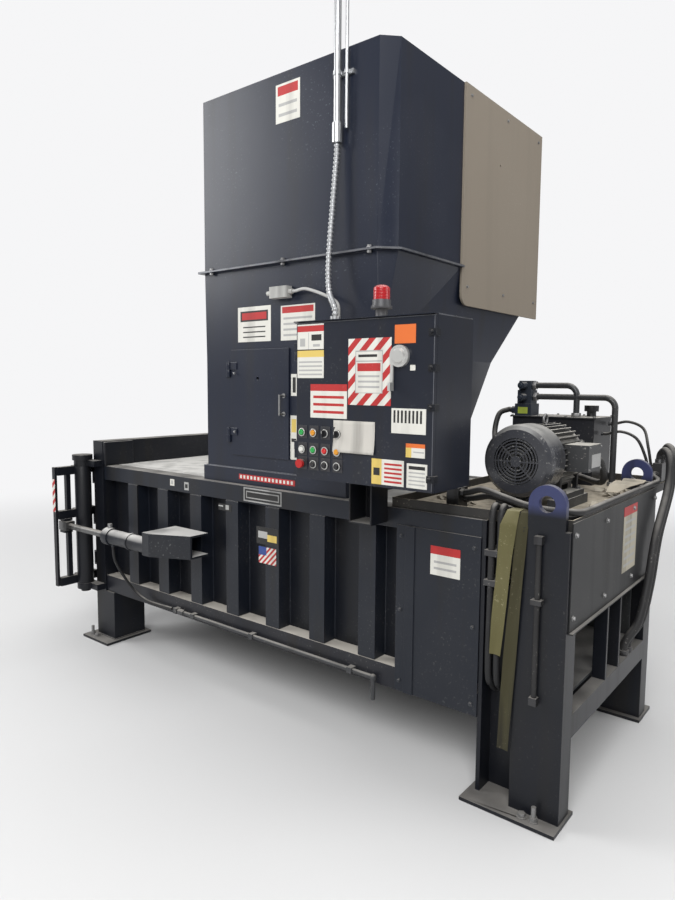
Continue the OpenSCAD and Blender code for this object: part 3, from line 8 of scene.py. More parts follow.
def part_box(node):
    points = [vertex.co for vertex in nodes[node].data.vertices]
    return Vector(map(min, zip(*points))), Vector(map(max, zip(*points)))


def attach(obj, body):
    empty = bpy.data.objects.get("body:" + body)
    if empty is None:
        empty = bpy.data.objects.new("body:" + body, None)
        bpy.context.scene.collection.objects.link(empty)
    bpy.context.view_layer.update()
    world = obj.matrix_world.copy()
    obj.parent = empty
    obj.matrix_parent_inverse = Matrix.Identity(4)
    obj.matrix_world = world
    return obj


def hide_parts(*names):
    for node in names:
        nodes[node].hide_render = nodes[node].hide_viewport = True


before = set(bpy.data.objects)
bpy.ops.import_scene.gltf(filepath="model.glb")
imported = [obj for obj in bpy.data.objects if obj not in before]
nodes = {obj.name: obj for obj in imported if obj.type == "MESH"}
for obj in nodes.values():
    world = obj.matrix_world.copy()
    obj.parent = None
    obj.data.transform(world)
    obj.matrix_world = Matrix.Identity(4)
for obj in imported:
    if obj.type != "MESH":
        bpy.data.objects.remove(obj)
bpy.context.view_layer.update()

# The machine stands on a portal at the door end and a frame of two legs at the rear,
# welded from cut plate. All of it is sprayed in one dark gloss coat, which has dulled,
# gathered grey paper dust on every ledge and run with grime below the seams.


def colour_input(group, name, value):
    socket = group.interface.new_socket(name, in_out="INPUT", socket_type="NodeSocketColor")
    socket.default_value = (*value, 1)


def value_input(group, name, value):
    socket = group.interface.new_socket(name, in_out="INPUT", socket_type="NodeSocketFloat")
    socket.default_value = value


def mix_colours(tree, mask, first, second):
    """Mixes two colours, each a socket or a plain colour, by a mask."""
    mix = tree.nodes.new("ShaderNodeMix")
    mix.data_type = "RGBA"
    tree.links.new(mask, mix.inputs["Factor"])
    for socket, colour in ((mix.inputs[6], first), (mix.inputs[7], second)):
        if isinstance(colour, tuple):
            socket.default_value = (*colour, 1)
        else:
            tree.links.new(colour, socket)
    return mix.outputs[2]


def arithmetic(tree, operation, first, second, clamp=False):
    """Works out one step on two values, each a socket or a plain number."""
    node = tree.nodes.new("ShaderNodeMath")
    node.operation = operation
    node.use_clamp = clamp
    for socket, value in zip(node.inputs, (first, second)):
        if isinstance(value, (int, float)):
            socket.default_value = value
        else:
            tree.links.new(value, socket)
    return node.outputs[0]


def spread(tree, value, low, high):
    """Stretches a value so that low gives 0 and high gives 1."""
    node = tree.nodes.new("ShaderNodeMapRange")
    tree.links.new(value, node.inputs["Value"])
    node.inputs["From Min"].default_value = low
    node.inputs["From Max"].default_value = high
    return node.outputs["Result"]


def noise(tree, place, scale, detail, stretch=(1, 1, 1)):
    """Noise on object coordinates; stretch under 1 draws it out along that axis."""
    mapping = tree.nodes.new("ShaderNodeMapping")
    mapping.inputs["Scale"].default_value = stretch
    tree.links.new(place, mapping.inputs["Vector"])
    texture = tree.nodes.new("ShaderNodeTexNoise")
    texture.inputs["Detail"].default_value = detail
    if isinstance(scale, (int, float)):
        texture.inputs["Scale"].default_value = scale
    else:
        tree.links.new(scale, texture.inputs["Scale"])
    tree.links.new(mapping.outputs[0], texture.inputs["Vector"])
    return texture.outputs["Fac"]


paper_dust = (0.42, 0.40, 0.37)


def build_dust_group():
    """Dust on what faces up, specks and scuffs on the sides, grime running down."""
    group = bpy.data.node_groups.new("dust and grime", "ShaderNodeTree")
    colour_input(group, "Colour", (0.02, 0.023, 0.032))
    colour_input(group, "Dust Colour", paper_dust)
    colour_input(group, "Grime Colour", (0.012, 0.011, 0.01))
    value_input(group, "Dust", 0.8)
    value_input(group, "Specks", 0.3)
    value_input(group, "Grime", 0.5)
    value_input(group, "Roughness", 0.4)
    value_input(group, "Patch Scale", 5.0)
    for name, kind in (("Colour", "Color"), ("Roughness", "Float"), ("Height", "Float")):
        group.interface.new_socket(name, in_out="OUTPUT", socket_type="NodeSocket" + kind)
    inside = group.nodes.new("NodeGroupInput").outputs
    outside = group.nodes.new("NodeGroupOutput").inputs
    texture_place = group.nodes.new("ShaderNodeTexCoord")
    place = texture_place.outputs["Object"]

    def times(first, second, clamp=False):
        return arithmetic(group, "MULTIPLY", first, second, clamp)

    def plus(first, second, clamp=False):
        return arithmetic(group, "ADD", first, second, clamp)

    # Settled dust lies on what faces up, thick in patches
    facing = group.nodes.new("ShaderNodeSeparateXYZ")
    group.links.new(texture_place.outputs["Normal"], facing.inputs[0])
    upward = spread(group, facing.outputs["Z"], 0.4, 0.95)
    patches = spread(group, noise(group, place, inside["Patch Scale"], 7), 0.34, 0.62)
    thin = spread(group, noise(group, place, 2.6, 3), 0.3, 0.75)
    layer = plus(plus(times(patches, 0.34), times(thin, 0.30)), 0.36)
    settled = times(times(upward, layer), inside["Dust"], True)
    # Fine specks and a thin haze cling to every side
    fine = spread(group, noise(group, place, 95, 3), 0.63, 0.72)
    cloudy = spread(group, noise(group, place, 2.3, 4), 0.45, 0.7)
    specks = times(fine, cloudy)
    haze = times(cloudy, 0.07)
    specks = times(plus(specks, haze), inside["Specks"], True)
    dusty = arithmetic(group, "MAXIMUM", settled, specks)
    # Grime runs down in long streaks
    runs = spread(group, noise(group, place, 9, 5, (1, 1, 0.07)), 0.5, 0.68)
    runs = times(runs, inside["Grime"], True)
    grimy = mix_colours(group, runs, inside["Colour"], inside["Grime Colour"])
    final = mix_colours(group, dusty, grimy, inside["Dust Colour"])
    rough = plus(inside["Roughness"], times(dusty, 0.5))
    rough = plus(rough, times(runs, 0.12), True)
    grain = noise(group, place, 160, 3)
    height = plus(times(grain, 0.4), settled)
    group.links.new(final, outside["Colour"])
    group.links.new(rough, outside["Roughness"])
    group.links.new(height, outside["Height"])
    return group


dust_group = build_dust_group()


def soiled(name, colour, roughness, metallic=0.0, dust=0.8, specks=0.3, grime=0.5, patch=5.0,
           coat=0.0, bump=0.25, dust_colour=paper_dust, sheen=0.32):
    """A finish with the shop's dust and grime on it."""
    material = bpy.data.materials.new(name)
    material.use_nodes = True
    tree = material.node_tree
    shader = tree.nodes["Principled BSDF"]
    dirt = tree.nodes.new("ShaderNodeGroup")
    dirt.name = "dirt"
    dirt.node_tree = dust_group
    dirt.inputs["Colour"].default_value = (*colour, 1)
    dirt.inputs["Dust Colour"].default_value = (*dust_colour, 1)
    for socket, value in (("Dust", dust), ("Specks", specks), ("Grime", grime),
                          ("Roughness", roughness), ("Patch Scale", patch)):
        dirt.inputs[socket].default_value = value
    raised = tree.nodes.new("ShaderNodeBump")
    raised.inputs["Strength"].default_value = bump
    raised.inputs["Distance"].default_value = 0.001
    tree.links.new(dirt.outputs["Colour"], shader.inputs["Base Color"])
    tree.links.new(dirt.outputs["Roughness"], shader.inputs["Roughness"])
    tree.links.new(dirt.outputs["Height"], raised.inputs["Height"])
    tree.links.new(raised.outputs["Normal"], shader.inputs["Normal"])
    shader.inputs["Metallic"].default_value = metallic
    shader.inputs["Specular IOR Level"].default_value = sheen
    shader.inputs["Coat Weight"].default_value = coat
    shader.inputs["Coat Roughness"].default_value = 0.2
    return material


def finish_nodes(names, material, edge=0.0, segments=2):
    """Gives CAD nodes a finish and, where edge is set, a small rounded edge."""
    for name in names.split():
        node = nodes[name]
        node.data.materials.clear()
        node.data.materials.append(material)
        if edge:
            weld = node.modifiers.new("joined corners", "WELD")
            weld.merge_threshold = 0.00002
            rounding = node.modifiers.new("rounded edge", "BEVEL")
            rounding.width = edge
            rounding.segments = segments
            rounding.limit_method = "ANGLE"
            rounding.angle_limit = math.radians(35)
            rounding.harden_normals = False


black_paint = (0.006, 0.0072, 0.011)
frame_paint = soiled("frame paint", black_paint, 0.38, dust=0.7, specks=0.12, grime=0.6)
ledge_paint = soiled("dusty ledge paint", (0.011, 0.012, 0.017), 0.40, dust=1.5, specks=0.4,
                     grime=0.6, patch=7, dust_colour=(0.50, 0.47, 0.42))
finish_nodes("portal_frame", frame_paint, 0.003)
finish_nodes("bottom_rails floor_bearers", ledge_paint, 0.003)

# The lifting ears at the top of the rear legs carry a bluer coat than the legs
ear_blue = (0.036, 0.043, 0.110)
ear_foot = 1.255
ear_full_colour = 1.300
ear_paint = soiled("ear paint", black_paint, 0.36, dust=0.55, specks=0.1, grime=0.6)
tree = ear_paint.node_tree
place = tree.nodes.new("ShaderNodeTexCoord")
height = tree.nodes.new("ShaderNodeSeparateXYZ")
tree.links.new(place.outputs["Object"], height.inputs[0])
ear_mask = spread(tree, height.outputs["Z"], ear_foot, ear_full_colour)
tinted = mix_colours(tree, ear_mask, black_paint, ear_blue)
tree.links.new(tinted, tree.nodes["dirt"].inputs["Colour"])
finish_nodes("rear_frame", ear_paint, 0.003)

# Each leg is welded all round to a foot plate. A plated anchor nut is run down on a
# washer at each plate, next to the levelling bolt that takes up an uneven floor.
bolt_steel = soiled("plated bolt steel", (0.30, 0.30, 0.30), 0.45, 0.8, dust=0.6, specks=0.6, grime=0.5)
finish_nodes("levelling_bolts", bolt_steel)


def only(piece):
    """Selects one piece and makes it the active one."""
    bpy.ops.object.select_all(action="DESELECT")
    piece.select_set(True)
    bpy.context.view_layer.objects.active = piece


def settle(piece, name, material, body="frame"):
    """Puts a piece's place into its mesh, gives it its finish and its body."""
    only(piece)
    bpy.ops.object.transform_apply(location=True, rotation=True, scale=True)
    piece.name = name
    if material:
        piece.data.materials.clear()
        piece.data.materials.append(material)
    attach(piece, body)
    return piece


def joined(name, pieces):
    """Makes like pieces one object."""
    bpy.ops.object.select_all(action="DESELECT")
    for piece in pieces:
        piece.select_set(True)
    bpy.context.view_layer.objects.active = pieces[0]
    if len(pieces) > 1:
        bpy.ops.object.join()
    pieces[0].name = name
    return pieces[0]


quarter = math.pi / 2
axis_turns = {"z": (0, 0, 0), "x": (0, quarter, 0), "y": (quarter, 0, 0)}


def turned(name, centre, axis, radius, height, material, edge=0.0015, sides=32, body="frame", tip=None):
    """Turned piece; tip is the radius of the end that lies along -Y, +X or +Z."""
    bpy.ops.object.select_all(action="DESELECT")
    bpy.ops.mesh.primitive_cone_add(vertices=sides, radius1=radius, radius2=radius if tip is None else tip,
                                    depth=height, location=centre, rotation=axis_turns[axis])
    piece = bpy.context.object
    bpy.ops.object.mode_set(mode="EDIT")
    bpy.ops.mesh.select_all(action="DESELECT")
    shape = bmesh.from_edit_mesh(piece.data)
    for line in shape.edges:
        if abs(line.verts[0].co.z - line.verts[1].co.z) < 1e-6:
            line.select = True
    bmesh.update_edit_mesh(piece.data)
    bpy.ops.mesh.bevel(offset=edge, segments=2)
    bpy.ops.object.mode_set(mode="OBJECT")
    bpy.ops.object.shade_smooth_by_angle(angle=math.radians(35))
    return settle(piece, name, material, body)


def hex_bolts(name, places, direction, size, material, body="frame"):
    """Row of hexagon heads with washers, standing out along a direction."""
    heads = []
    axis = "xyz"[[abs(d) for d in direction].index(1)]
    out = Vector(direction)
    for place in places:
        place = Vector(place)
        heads.append(turned("washer", place + out * size * 0.06, axis, radius=size * 0.72,
                            height=size * 0.12, material=material, edge=size * 0.02, sides=24, body=body))
        heads.append(turned("head", place + out * size * 0.36, axis, radius=size * 0.56,
                            height=size * 0.48, material=material, edge=size * 0.05, sides=6, body=body))
    return joined(name, heads)


plate_top = 0.016
anchor_x = 1.55
anchor_y = 0.66
anchor_places = [(end * anchor_x, side * anchor_y, plate_top) for end in (-1, 1) for side in (-1, 1)]
hex_bolts("anchor_nuts", anchor_places, (0, 0, 1), size=0.03, material=bolt_steel)


def weld_bead(name, start, end, radius, material, body="frame"):
    """Rippled fillet weld laid in a corner."""
    start = Vector(start)
    end = Vector(end)
    run = end - start
    ripple = 0.024
    bpy.ops.object.select_all(action="DESELECT")
    bpy.ops.mesh.primitive_cylinder_add(vertices=8, radius=radius, depth=run.length)
    piece = bpy.context.object
    bpy.ops.object.mode_set(mode="EDIT")
    shape = bmesh.from_edit_mesh(piece.data)
    bpy.ops.mesh.select_all(action="DESELECT")
    for line in shape.edges:
        line.select = abs(line.verts[0].co.z - line.verts[1].co.z) > radius
    bmesh.update_edit_mesh(piece.data)
    bpy.ops.mesh.subdivide(number_cuts=max(6, int(2 * run.length / ripple)))
    bpy.ops.object.mode_set(mode="OBJECT")
    for point in piece.data.vertices:
        swell = 1 + 0.16 * math.sin(point.co.z * 2 * math.pi / ripple)
        point.co.x *= swell
        point.co.y *= swell
    piece.rotation_euler = run.to_track_quat("Z", "Y").to_euler()
    piece.location = (start + end) / 2
    return settle(piece, name, material, body)


portal_low, portal_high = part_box("portal_frame")
post_outer = 0.62
post_inner = 0.38
plate_ahead = 0.06
plate_behind = 0.03
post_front = portal_low.x + plate_ahead
post_back = portal_high.x - plate_behind
foot_weld_radius = 0.005
foot_welds = []
for side in (-1, 1):
    for x in (post_front, post_back):
        foot_welds.append(weld_bead("weld", (x, side * post_outer, plate_top),
                                    (x, side * post_inner, plate_top), foot_weld_radius, frame_paint))
    foot_welds.append(weld_bead("weld", (post_front, side * post_outer, plate_top),
                                (post_back, side * post_outer, plate_top), foot_weld_radius, frame_paint))
joined("foot_welds", foot_welds)

# Cap plates close the ends of the portal's header. They are thicker than the beam
# between them, so each end reads as a block; both are welded flush and dressed.


def solid_block(name, low, high, material, edge=0.002, body="frame"):
    """Block between two corners with rounded edges."""
    bpy.ops.object.select_all(action="DESELECT")
    bpy.ops.mesh.primitive_cube_add(size=1, location=[(a + b) / 2 for a, b in zip(low, high)])
    piece = bpy.context.object
    piece.scale = [b - a for a, b in zip(low, high)]
    bpy.ops.object.transform_apply(location=True, rotation=True, scale=True)
    bpy.ops.object.mode_set(mode="EDIT")
    bpy.ops.mesh.select_all(action="SELECT")
    bpy.ops.mesh.bevel(offset=edge, segments=2)
    bpy.ops.object.mode_set(mode="OBJECT")
    return settle(piece, name, material, body)


rail_low, rail_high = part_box("top_rails")
cap_thickness = 0.027
cap_front = rail_low.x + 0.001
cap_bottom = rail_high.z + 0.0015
cap_top = portal_high.z - 0.004
cap_outer = post_outer - 0.002
cap_inner = post_inner + 0.015
for name, side in (("near", -1), ("far", 1)):
    low_y, high_y = sorted((side * cap_outer, side * cap_inner))
    solid_block("header_cap_" + name, (cap_front, low_y, cap_bottom),
                (cap_front + cap_thickness, high_y, cap_top), frame_paint, edge=0.006)

# The press chamber: floor, roof and wall plates between channel rails, stiffened outside
# by folded ribs that are welded down both sides. The floor plate is worn bright and the
# roof is grey with fallen dust.
body_paint = soiled("body paint", (0.009, 0.0115, 0.018), 0.34, dust=0.8, specks=0.2, grime=0.6)
floor_steel = soiled("worn chamber steel", (0.10, 0.10, 0.10), 0.45, 0.6, dust=0.7, specks=0.5)
roof_paint = soiled("dusty roof plate", (0.05, 0.05, 0.052), 0.5, dust=1.3, specks=0.6, patch=9,
                    dust_colour=(0.62, 0.61, 0.58))
finish_nodes("chamber_floor", floor_steel)
finish_nodes("chamber_roof", roof_paint, 0.002)
# The wall plates between the ribs take the darker frame paint, not the ribs' body paint: painted shade in
# the recesses between the ribs
finish_nodes("wall_near wall_far", frame_paint)
finish_nodes("side_ribs", body_paint, 0.006, 3)
finish_nodes("top_rails", body_paint, 0.004, 3)
rib_low, rib_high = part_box("side_ribs")
wall_low, wall_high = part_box("wall_near")
rib_count = 7
rib_pitch = 0.315
rib_width = 0.1
wall_face = -wall_low.y
rib_face = rib_high.y - 0.003
weld_stop = 0.01
side_weld_radius = 0.004
end_weld_radius = 0.003
rib_welds = []
for side in (-1, 1):
    for i in range(rib_count):
        rib_start = rib_low.x + i * rib_pitch
        rib_end = rib_start + rib_width
        for x in (rib_start, rib_end):
            rib_welds.append(weld_bead("weld", (x, side * wall_face, rib_low.z + weld_stop),
                                       (x, side * wall_face, rib_high.z - weld_stop),
                                       side_weld_radius, body_paint))
        rib_welds.append(weld_bead("weld", (rib_start + weld_stop, side * rib_face, rib_high.z),
                                   (rib_end - weld_stop, side * rib_face, rib_high.z),
                                   end_weld_radius, body_paint))
joined("rib_welds", rib_welds)

# The ram: a welded box whose face plate is bolted on and scraped by the bales, pushed
# by a telescopic cylinder with ground and chromed sleeves.
ram_paint = soiled("scraped ram paint", (0.06, 0.065, 0.07), 0.45, 0.3, dust=0.6, specks=0.6)
chrome_rod = soiled("ground chrome", (0.40, 0.40, 0.41), 0.28, 1.0, dust=0.5, specks=0.5, grime=0.4,
                    bump=0.05)
finish_nodes("ram_carriage", ram_paint, 0.002)
finish_nodes("ram_cylinder", frame_paint)
finish_nodes("ram_sleeve", chrome_rod)
ram_low, ram_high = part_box("ram_carriage")
ram_bolt_columns = (-0.4, -0.14, 0.14, 0.4)
ram_bolt_rows = (ram_low.z + 0.1, ram_high.z - 0.1)
ram_bolt_places = [(ram_low.x, y, z) for y in ram_bolt_columns for z in ram_bolt_rows]
hex_bolts("ram_face_bolts", ram_bolt_places, (-1, 0, 0), size=0.03, material=bolt_steel, body="ram")

# Folded panels beside the ram's tunnel and the cover plate at the back, screwed on so
# that they come off for service. The cover is thinner sheet, rubbed grey by traffic.
black_bolt = soiled("painted bolt", (0.03, 0.033, 0.04), 0.45, dust=0.7, specks=0.5)
cover_paint = soiled("rubbed cover paint", (0.010, 0.0105, 0.012), 0.44, dust=0.7, specks=0.35, grime=0.5,
                     patch=3, sheen=0.25)
finish_nodes("side_panel", body_paint, 0.002)
finish_nodes("rear_cover", cover_paint, 0.002)
panel_low, panel_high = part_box("side_panel")
panel_face = 0.616
panel_columns = (panel_low.x + 0.025, panel_high.x - 0.03)
panel_rows = (panel_low.z + 0.05, panel_low.z + 0.39, panel_high.z - 0.05)
for name, side in (("near", -1), ("far", 1)):
    screw_places = [(x, side * panel_face, z) for x in panel_columns for z in panel_rows]
    hex_bolts("panel_screws_" + name, screw_places, (0, side, 0), size=0.014, material=black_bolt)
cover_low, cover_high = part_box("rear_cover")
cover_sheet = 0.006
cover_face = cover_low.x + cover_sheet
cover_columns = (-0.58, -0.2, 0.2, 0.58)
cover_rows = (cover_low.z + 0.06, cover_high.z - 0.05)
cover_places = [(cover_face, y, z) for y in cover_columns for z in cover_rows]
hex_bolts("cover_screws", cover_places, (1, 0, 0), size=0.016, material=bolt_steel)

# The sign places on the rails, ribs and panels: stuck-on sheets and one screwed plate,
# printed in plain fields of colour with nothing to read. Each is thin sheet, cut square.


def sign_finish(name, colour, roughness=0.45, specks=0.2, grime=0.2):
    """Smooth printed sheet with little dirt on it."""
    return soiled(name, colour, roughness, dust=0.3, specks=specks, grime=grime, bump=0.03)


sign_white = sign_finish("sign white", (0.62, 0.61, 0.56), roughness=0.5, specks=0.25, grime=0.25)
sign_beige = soiled("yellowed sign", (0.40, 0.37, 0.29), 0.5, dust=0.4, specks=0.9, grime=0.7)
sign_red = sign_finish("sign red", (0.40, 0.025, 0.025))
sign_orange = sign_finish("sign orange", (0.62, 0.14, 0.03))
sign_yellow = sign_finish("sign yellow", (0.62, 0.46, 0.12))
sign_black = sign_finish("sign black", (0.02, 0.02, 0.02), specks=0.25)
sign_metal = soiled("bare plate metal", (0.45, 0.45, 0.44), 0.35, 0.9, dust=0.3, specks=0.5, grime=0.4,
                    bump=0.05)
sign_grey = sign_finish("sign grey", (0.36, 0.36, 0.35), roughness=0.5, specks=0.25, grime=0.25)
sign_blue = sign_finish("sign blue", (0.03, 0.06, 0.22), specks=0.25)


def cut_across(point, normal):
    """Cuts the whole sheet that is in edit mode along one straight line."""
    bpy.ops.mesh.select_all(action="SELECT")
    bpy.ops.mesh.bisect(plane_co=point, plane_no=normal)


def sign(name, low, high, face, ground, fields=(), normal="-y", body="frame", stripes=None):
    """Thin sheet between two (across, up) corners on a face. Fields are (left, right,
    bottom, top, finish) in shares of the sheet; stripes is (finish, pitch), slanting."""
    thick = 0.0012
    width = high[0] - low[0]
    height = high[1] - low[1]
    reach = (width + height) / 2
    bpy.ops.object.select_all(action="DESELECT")
    bpy.ops.mesh.primitive_plane_add(size=1)
    piece = bpy.context.object
    piece.scale = (width, height, 1)
    bpy.ops.object.transform_apply(scale=True)
    bpy.ops.object.mode_set(mode="EDIT")
    for left, right, bottom, top, _ in fields:
        for share in (left, right):
            if 0.001 < share < 0.999:
                cut_across(((share - 0.5) * width, 0, 0), (1, 0, 0))
        for share in (bottom, top):
            if 0.001 < share < 0.999:
                cut_across((0, (share - 0.5) * height, 0), (0, 1, 0))
    if stripes:
        for k in range(1, int(2 * reach / stripes[1]) + 1):
            cut_across((k * stripes[1] - reach, 0, 0), (0.7071, -0.7071, 0))
    bpy.ops.object.mode_set(mode="OBJECT")
    piece.data.materials.clear()
    for finish in [ground] + ([stripes[0]] if stripes else []) + [field[4] for field in fields]:
        piece.data.materials.append(finish)
    for patch in piece.data.polygons:
        x, y = patch.center.x, patch.center.y
        if stripes:
            patch.material_index = int((x - y + reach) / stripes[1]) % 2
        for i, (left, right, bottom, top, _) in enumerate(fields):
            if left < x / width + 0.5 < right and bottom < y / height + 0.5 < top:
                patch.material_index = i + (2 if stripes else 1)
    shell = piece.modifiers.new("sheet", "SOLIDIFY")
    shell.thickness = thick
    shell.offset = -1
    bpy.ops.object.modifier_apply(modifier="sheet")
    across = (low[0] + high[0]) / 2
    up = (low[1] + high[1]) / 2
    if normal == "-y":
        piece.rotation_euler = (quarter, 0, 0)
        piece.location = (across, face - thick, up)
    else:
        piece.rotation_euler = (quarter, 0, quarter)
        piece.location = (face + thick, across, up)
    return settle(piece, name, None, body)


def lines_of_print(count, left, right, bottom, step, height, finish):
    """Fields across a sign that stand for its lines of print, from the lowest up."""
    return [(left, right, bottom + step * i, bottom + step * i + height, finish) for i in range(count)]


def upright_marks(count, left, step, width, bottom, top, finish):
    """Fields side by side on a sign, from the left."""
    return [(left + step * i, left + step * i + width, bottom, top, finish) for i in range(count)]


side_face = rail_low.y
sign("plate_top_rail", (-0.127, 1.121), (0.161, 1.198), side_face, sign_metal,
     [(0.03, 0.97, 0.10, 0.90, sign_black), (0.07, 0.93, 0.24, 0.76, sign_metal),
      (0.09, 0.91, 0.32, 0.68, sign_black)])
sign("mark_rib", (-0.334, 1.046), (-0.226, 1.084), side_face, sign_black,
     [(0.0, 0.35, 0.55, 0.75, sign_grey), (0.55, 0.8, 0.2, 0.9, sign_grey)])
sign("sign_side_a", (-0.027, 0.900), (0.138, 0.994), side_face, sign_black,
     [(0.08, 0.5, 0.35, 0.75, sign_grey), (0.5, 0.92, 0.2, 0.6, sign_yellow)])
sign("sign_side_b", (-0.010, 0.795), (0.120, 0.886), side_face, sign_white,
     [(0.0, 0.45, 0.5, 1.0, sign_blue)], stripes=(sign_red, 0.016))
sign("sign_panel", (1.072, 0.931), (1.219, 1.061), -panel_face, sign_white,
     [(0.0, 1.0, 0.72, 1.0, sign_red)] + lines_of_print(2, 0.12, 0.88, 0.2, 0.22, 0.08, sign_grey))
sign("sign_tag_a", (-0.775, 1.142), (-0.735, 1.182), side_face, sign_white,
     [(0.25, 0.75, 0.2, 0.8, sign_grey)])
sign("sign_tag_b", (-0.640, 1.128), (-0.600, 1.176), side_face, sign_grey,
     [(0.2, 0.8, 0.25, 0.75, sign_black)])
sign("sign_rear_cover", (0.05, 0.90), (0.26, 1.21), cover_face, sign_beige,
     [(0.0, 1.0, 0.86, 1.0, sign_red)] + lines_of_print(7, 0.1, 0.9, 0.08, 0.11, 0.04, sign_grey), "+x")

# The door that keeps the bale in: a thick plate with channel beams, carried on two
# pins at the far side, and the ladder-shaped latch with its pin at the near side. The
# latch's end carries a strip of slanting stripes.
finish_nodes("bale_door", body_paint, 0.003)
finish_nodes("latch_frame", frame_paint, 0.003)
finish_nodes("door_pins latch_pivot", frame_paint, 0.002)
latch_low, latch_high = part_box("latch_frame")
sign("latch_stripes", (-1.703, 0.90), (-1.672, 1.12), latch_low.y, sign_white, body="latch",
     stripes=(sign_red, 0.030))

# The latch's hydraulic cylinder: painted barrel with screwed ends, chromed rod with a
# slotted end, on a box bracket whose top is thick with dust. Two ports stand on top.
cylinder_paint = soiled("dusty cylinder paint", (0.012, 0.014, 0.019), 0.42, dust=1.4, specks=0.3,
                        dust_colour=(0.55, 0.54, 0.52))
greasy_rod = soiled("greasy rod", (0.15, 0.15, 0.15), 0.36, 0.8, dust=1.0, specks=0.8, grime=0.9)
finish_nodes("lock_cylinder", cylinder_paint, 0.002)
finish_nodes("lock_rod", greasy_rod, 0.002)
rod_low, rod_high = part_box("lock_rod")
lock_low, lock_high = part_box("lock_cylinder")
lock_y = (rod_low.y + rod_high.y) / 2
lock_z = (rod_low.z + rod_high.z) / 2
gland_radius = 0.043
corner_angles = [quarter / 2 + i * quarter for i in range(4)]
gland_places = [(lock_low.x, lock_y + gland_radius * math.cos(angle),
                 lock_z + gland_radius * math.sin(angle)) for angle in corner_angles]
hex_bolts("gland_bolts", gland_places, (-1, 0, 0), size=0.014, material=bolt_steel)
for x in (lock_low.x + 0.03, lock_low.x + 0.40):
    turned("port_boss", (x, lock_y, lock_z + 0.056), "z", radius=0.014, height=0.026, material=bolt_steel)
    turned("port_nut", (x, lock_y, lock_z + 0.074), "z", radius=0.016, height=0.014, material=bolt_steel,
           sides=6)

# The hopper: a lofted chute on a curb and a square box above it, folded from 6 mm sheet
# and bolted together through a flange. A light line is drawn round the joint's rim: partly
# rubbed paint and dust on the rim, partly a painted highlight where its edge catches light.
hopper_paint = soiled("hopper paint", (0.010, 0.0135, 0.026), 0.34, dust=0.6, specks=0.2, grime=0.35,
                      patch=4, coat=0.08, dust_colour=(0.36, 0.37, 0.40))
# Light edge strips: partly rubbed paint and dust, partly a painted highlight on edges that catch light
dusty_highlit_edge = soiled("dusty highlit edge", (0.13, 0.135, 0.15), 0.34, 0.5, dust=1.0, specks=1.4, grime=0.8,
                     patch=20)
finish_nodes("hopper_box hopper_chute hopper_curb", hopper_paint, 0.0015)
finish_nodes("flange_bolts", bolt_steel)
curb_low, curb_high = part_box("hopper_curb")
flange_low, flange_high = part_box("hopper_chute")
board_low, board_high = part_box("hopper_board")
curb_weld_y = -0.561
curb_weld_z = curb_high.z + 0.0005
curb_weld = weld_bead("weld", (flange_low.x + 0.03, curb_weld_y, curb_weld_z),
                      (0.53, curb_weld_y, curb_weld_z), radius=0.004, material=hopper_paint)
joined("curb_weld", [curb_weld])

# These strips carry the rim's dust and its painted highlight
# The rim is drawn by four thin strips, the last across the cut corner
corner_cut = 0.0867
strip_out = 0.0006
strip_in = 0.0002
strip_edge = 0.0002
strip_half_thickness = (strip_out + strip_in) / 2
strip_gap = 0.0005
half_rim = 0.0045
rim_low = flange_high.z - half_rim
rim_high = flange_high.z + half_rim
cut_x = flange_high.x - corner_cut
cut_y = flange_low.y + corner_cut
solid_block("rim_near", (flange_low.x + strip_gap, flange_low.y - strip_out, rim_low),
            (cut_x, flange_low.y + strip_in, rim_high), dusty_highlit_edge, strip_edge)
solid_block("rim_door_end", (flange_low.x - strip_out, flange_low.y + strip_gap, rim_low),
            (flange_low.x + strip_in, flange_high.y - strip_gap, rim_high), dusty_highlit_edge, strip_edge)
solid_block("rim_deck_end", (flange_high.x - strip_in, cut_y, rim_low),
            (flange_high.x + strip_out, board_low.y - 2 * strip_gap, rim_high), dusty_highlit_edge, strip_edge)
half_strip = corner_cut / math.sqrt(2) - strip_gap
rim_corner = solid_block("rim_corner", (-half_strip, -strip_half_thickness, rim_low),
                         (half_strip, strip_half_thickness, rim_high), dusty_highlit_edge, strip_edge)
outward = strip_out / math.sqrt(2)
strip_middle = ((cut_x + flange_high.x) / 2 + outward, (cut_y + flange_low.y) / 2 - outward, 0)
rim_corner.data.transform(Matrix.Translation(strip_middle) @ Matrix.Rotation(quarter / 2, 4, "Z"))

# Signs on the hopper and its curb: printed sheets like those on the rails, stuck on the
# flat front of the chute, beside its access door and along the curb.
chute_face = -0.56
sign("sign_hopper_top", (0.075, 3.083), (0.240, 3.272), chute_face, sign_white,
     [(0.08, 0.92, 0.70, 0.94, sign_red)] + lines_of_print(2, 0.12, 0.88, 0.16, 0.26, 0.08, sign_grey))
sign("sign_chute_a", (-0.216, 1.991), (0.036, 2.179), chute_face, sign_white,
     [(0.08, 0.92, 0.58, 0.88, sign_black), (0.13, 0.87, 0.63, 0.83, sign_red)]
     + lines_of_print(3, 0.16, 0.84, 0.12, 0.14, 0.035, sign_black))
sign("sign_chute_b", (0.109, 1.990), (0.344, 2.169), chute_face, sign_white,
     [(0.04, 0.96, 0.78, 0.96, sign_red)] + lines_of_print(4, 0.08, 0.92, 0.12, 0.16, 0.06, sign_grey))
sign("sign_chute_c", (0.182, 1.703), (0.226, 1.816), chute_face, sign_white,
     [(0.25, 0.75, 0.15, 0.85, sign_black)])
sign("sign_chute_d", (0.178, 1.370), (0.226, 1.601), chute_face, sign_white,
     [(0.15, 0.85, 0.62, 0.92, sign_yellow), (0.15, 0.85, 0.40, 0.48, sign_black)])
sign("strip_curb", (-0.200, 1.232), (0.224, 1.262), curb_low.y, sign_red,
     upright_marks(15, 0.02, 0.065, 0.035, 0.2, 0.8, sign_white))

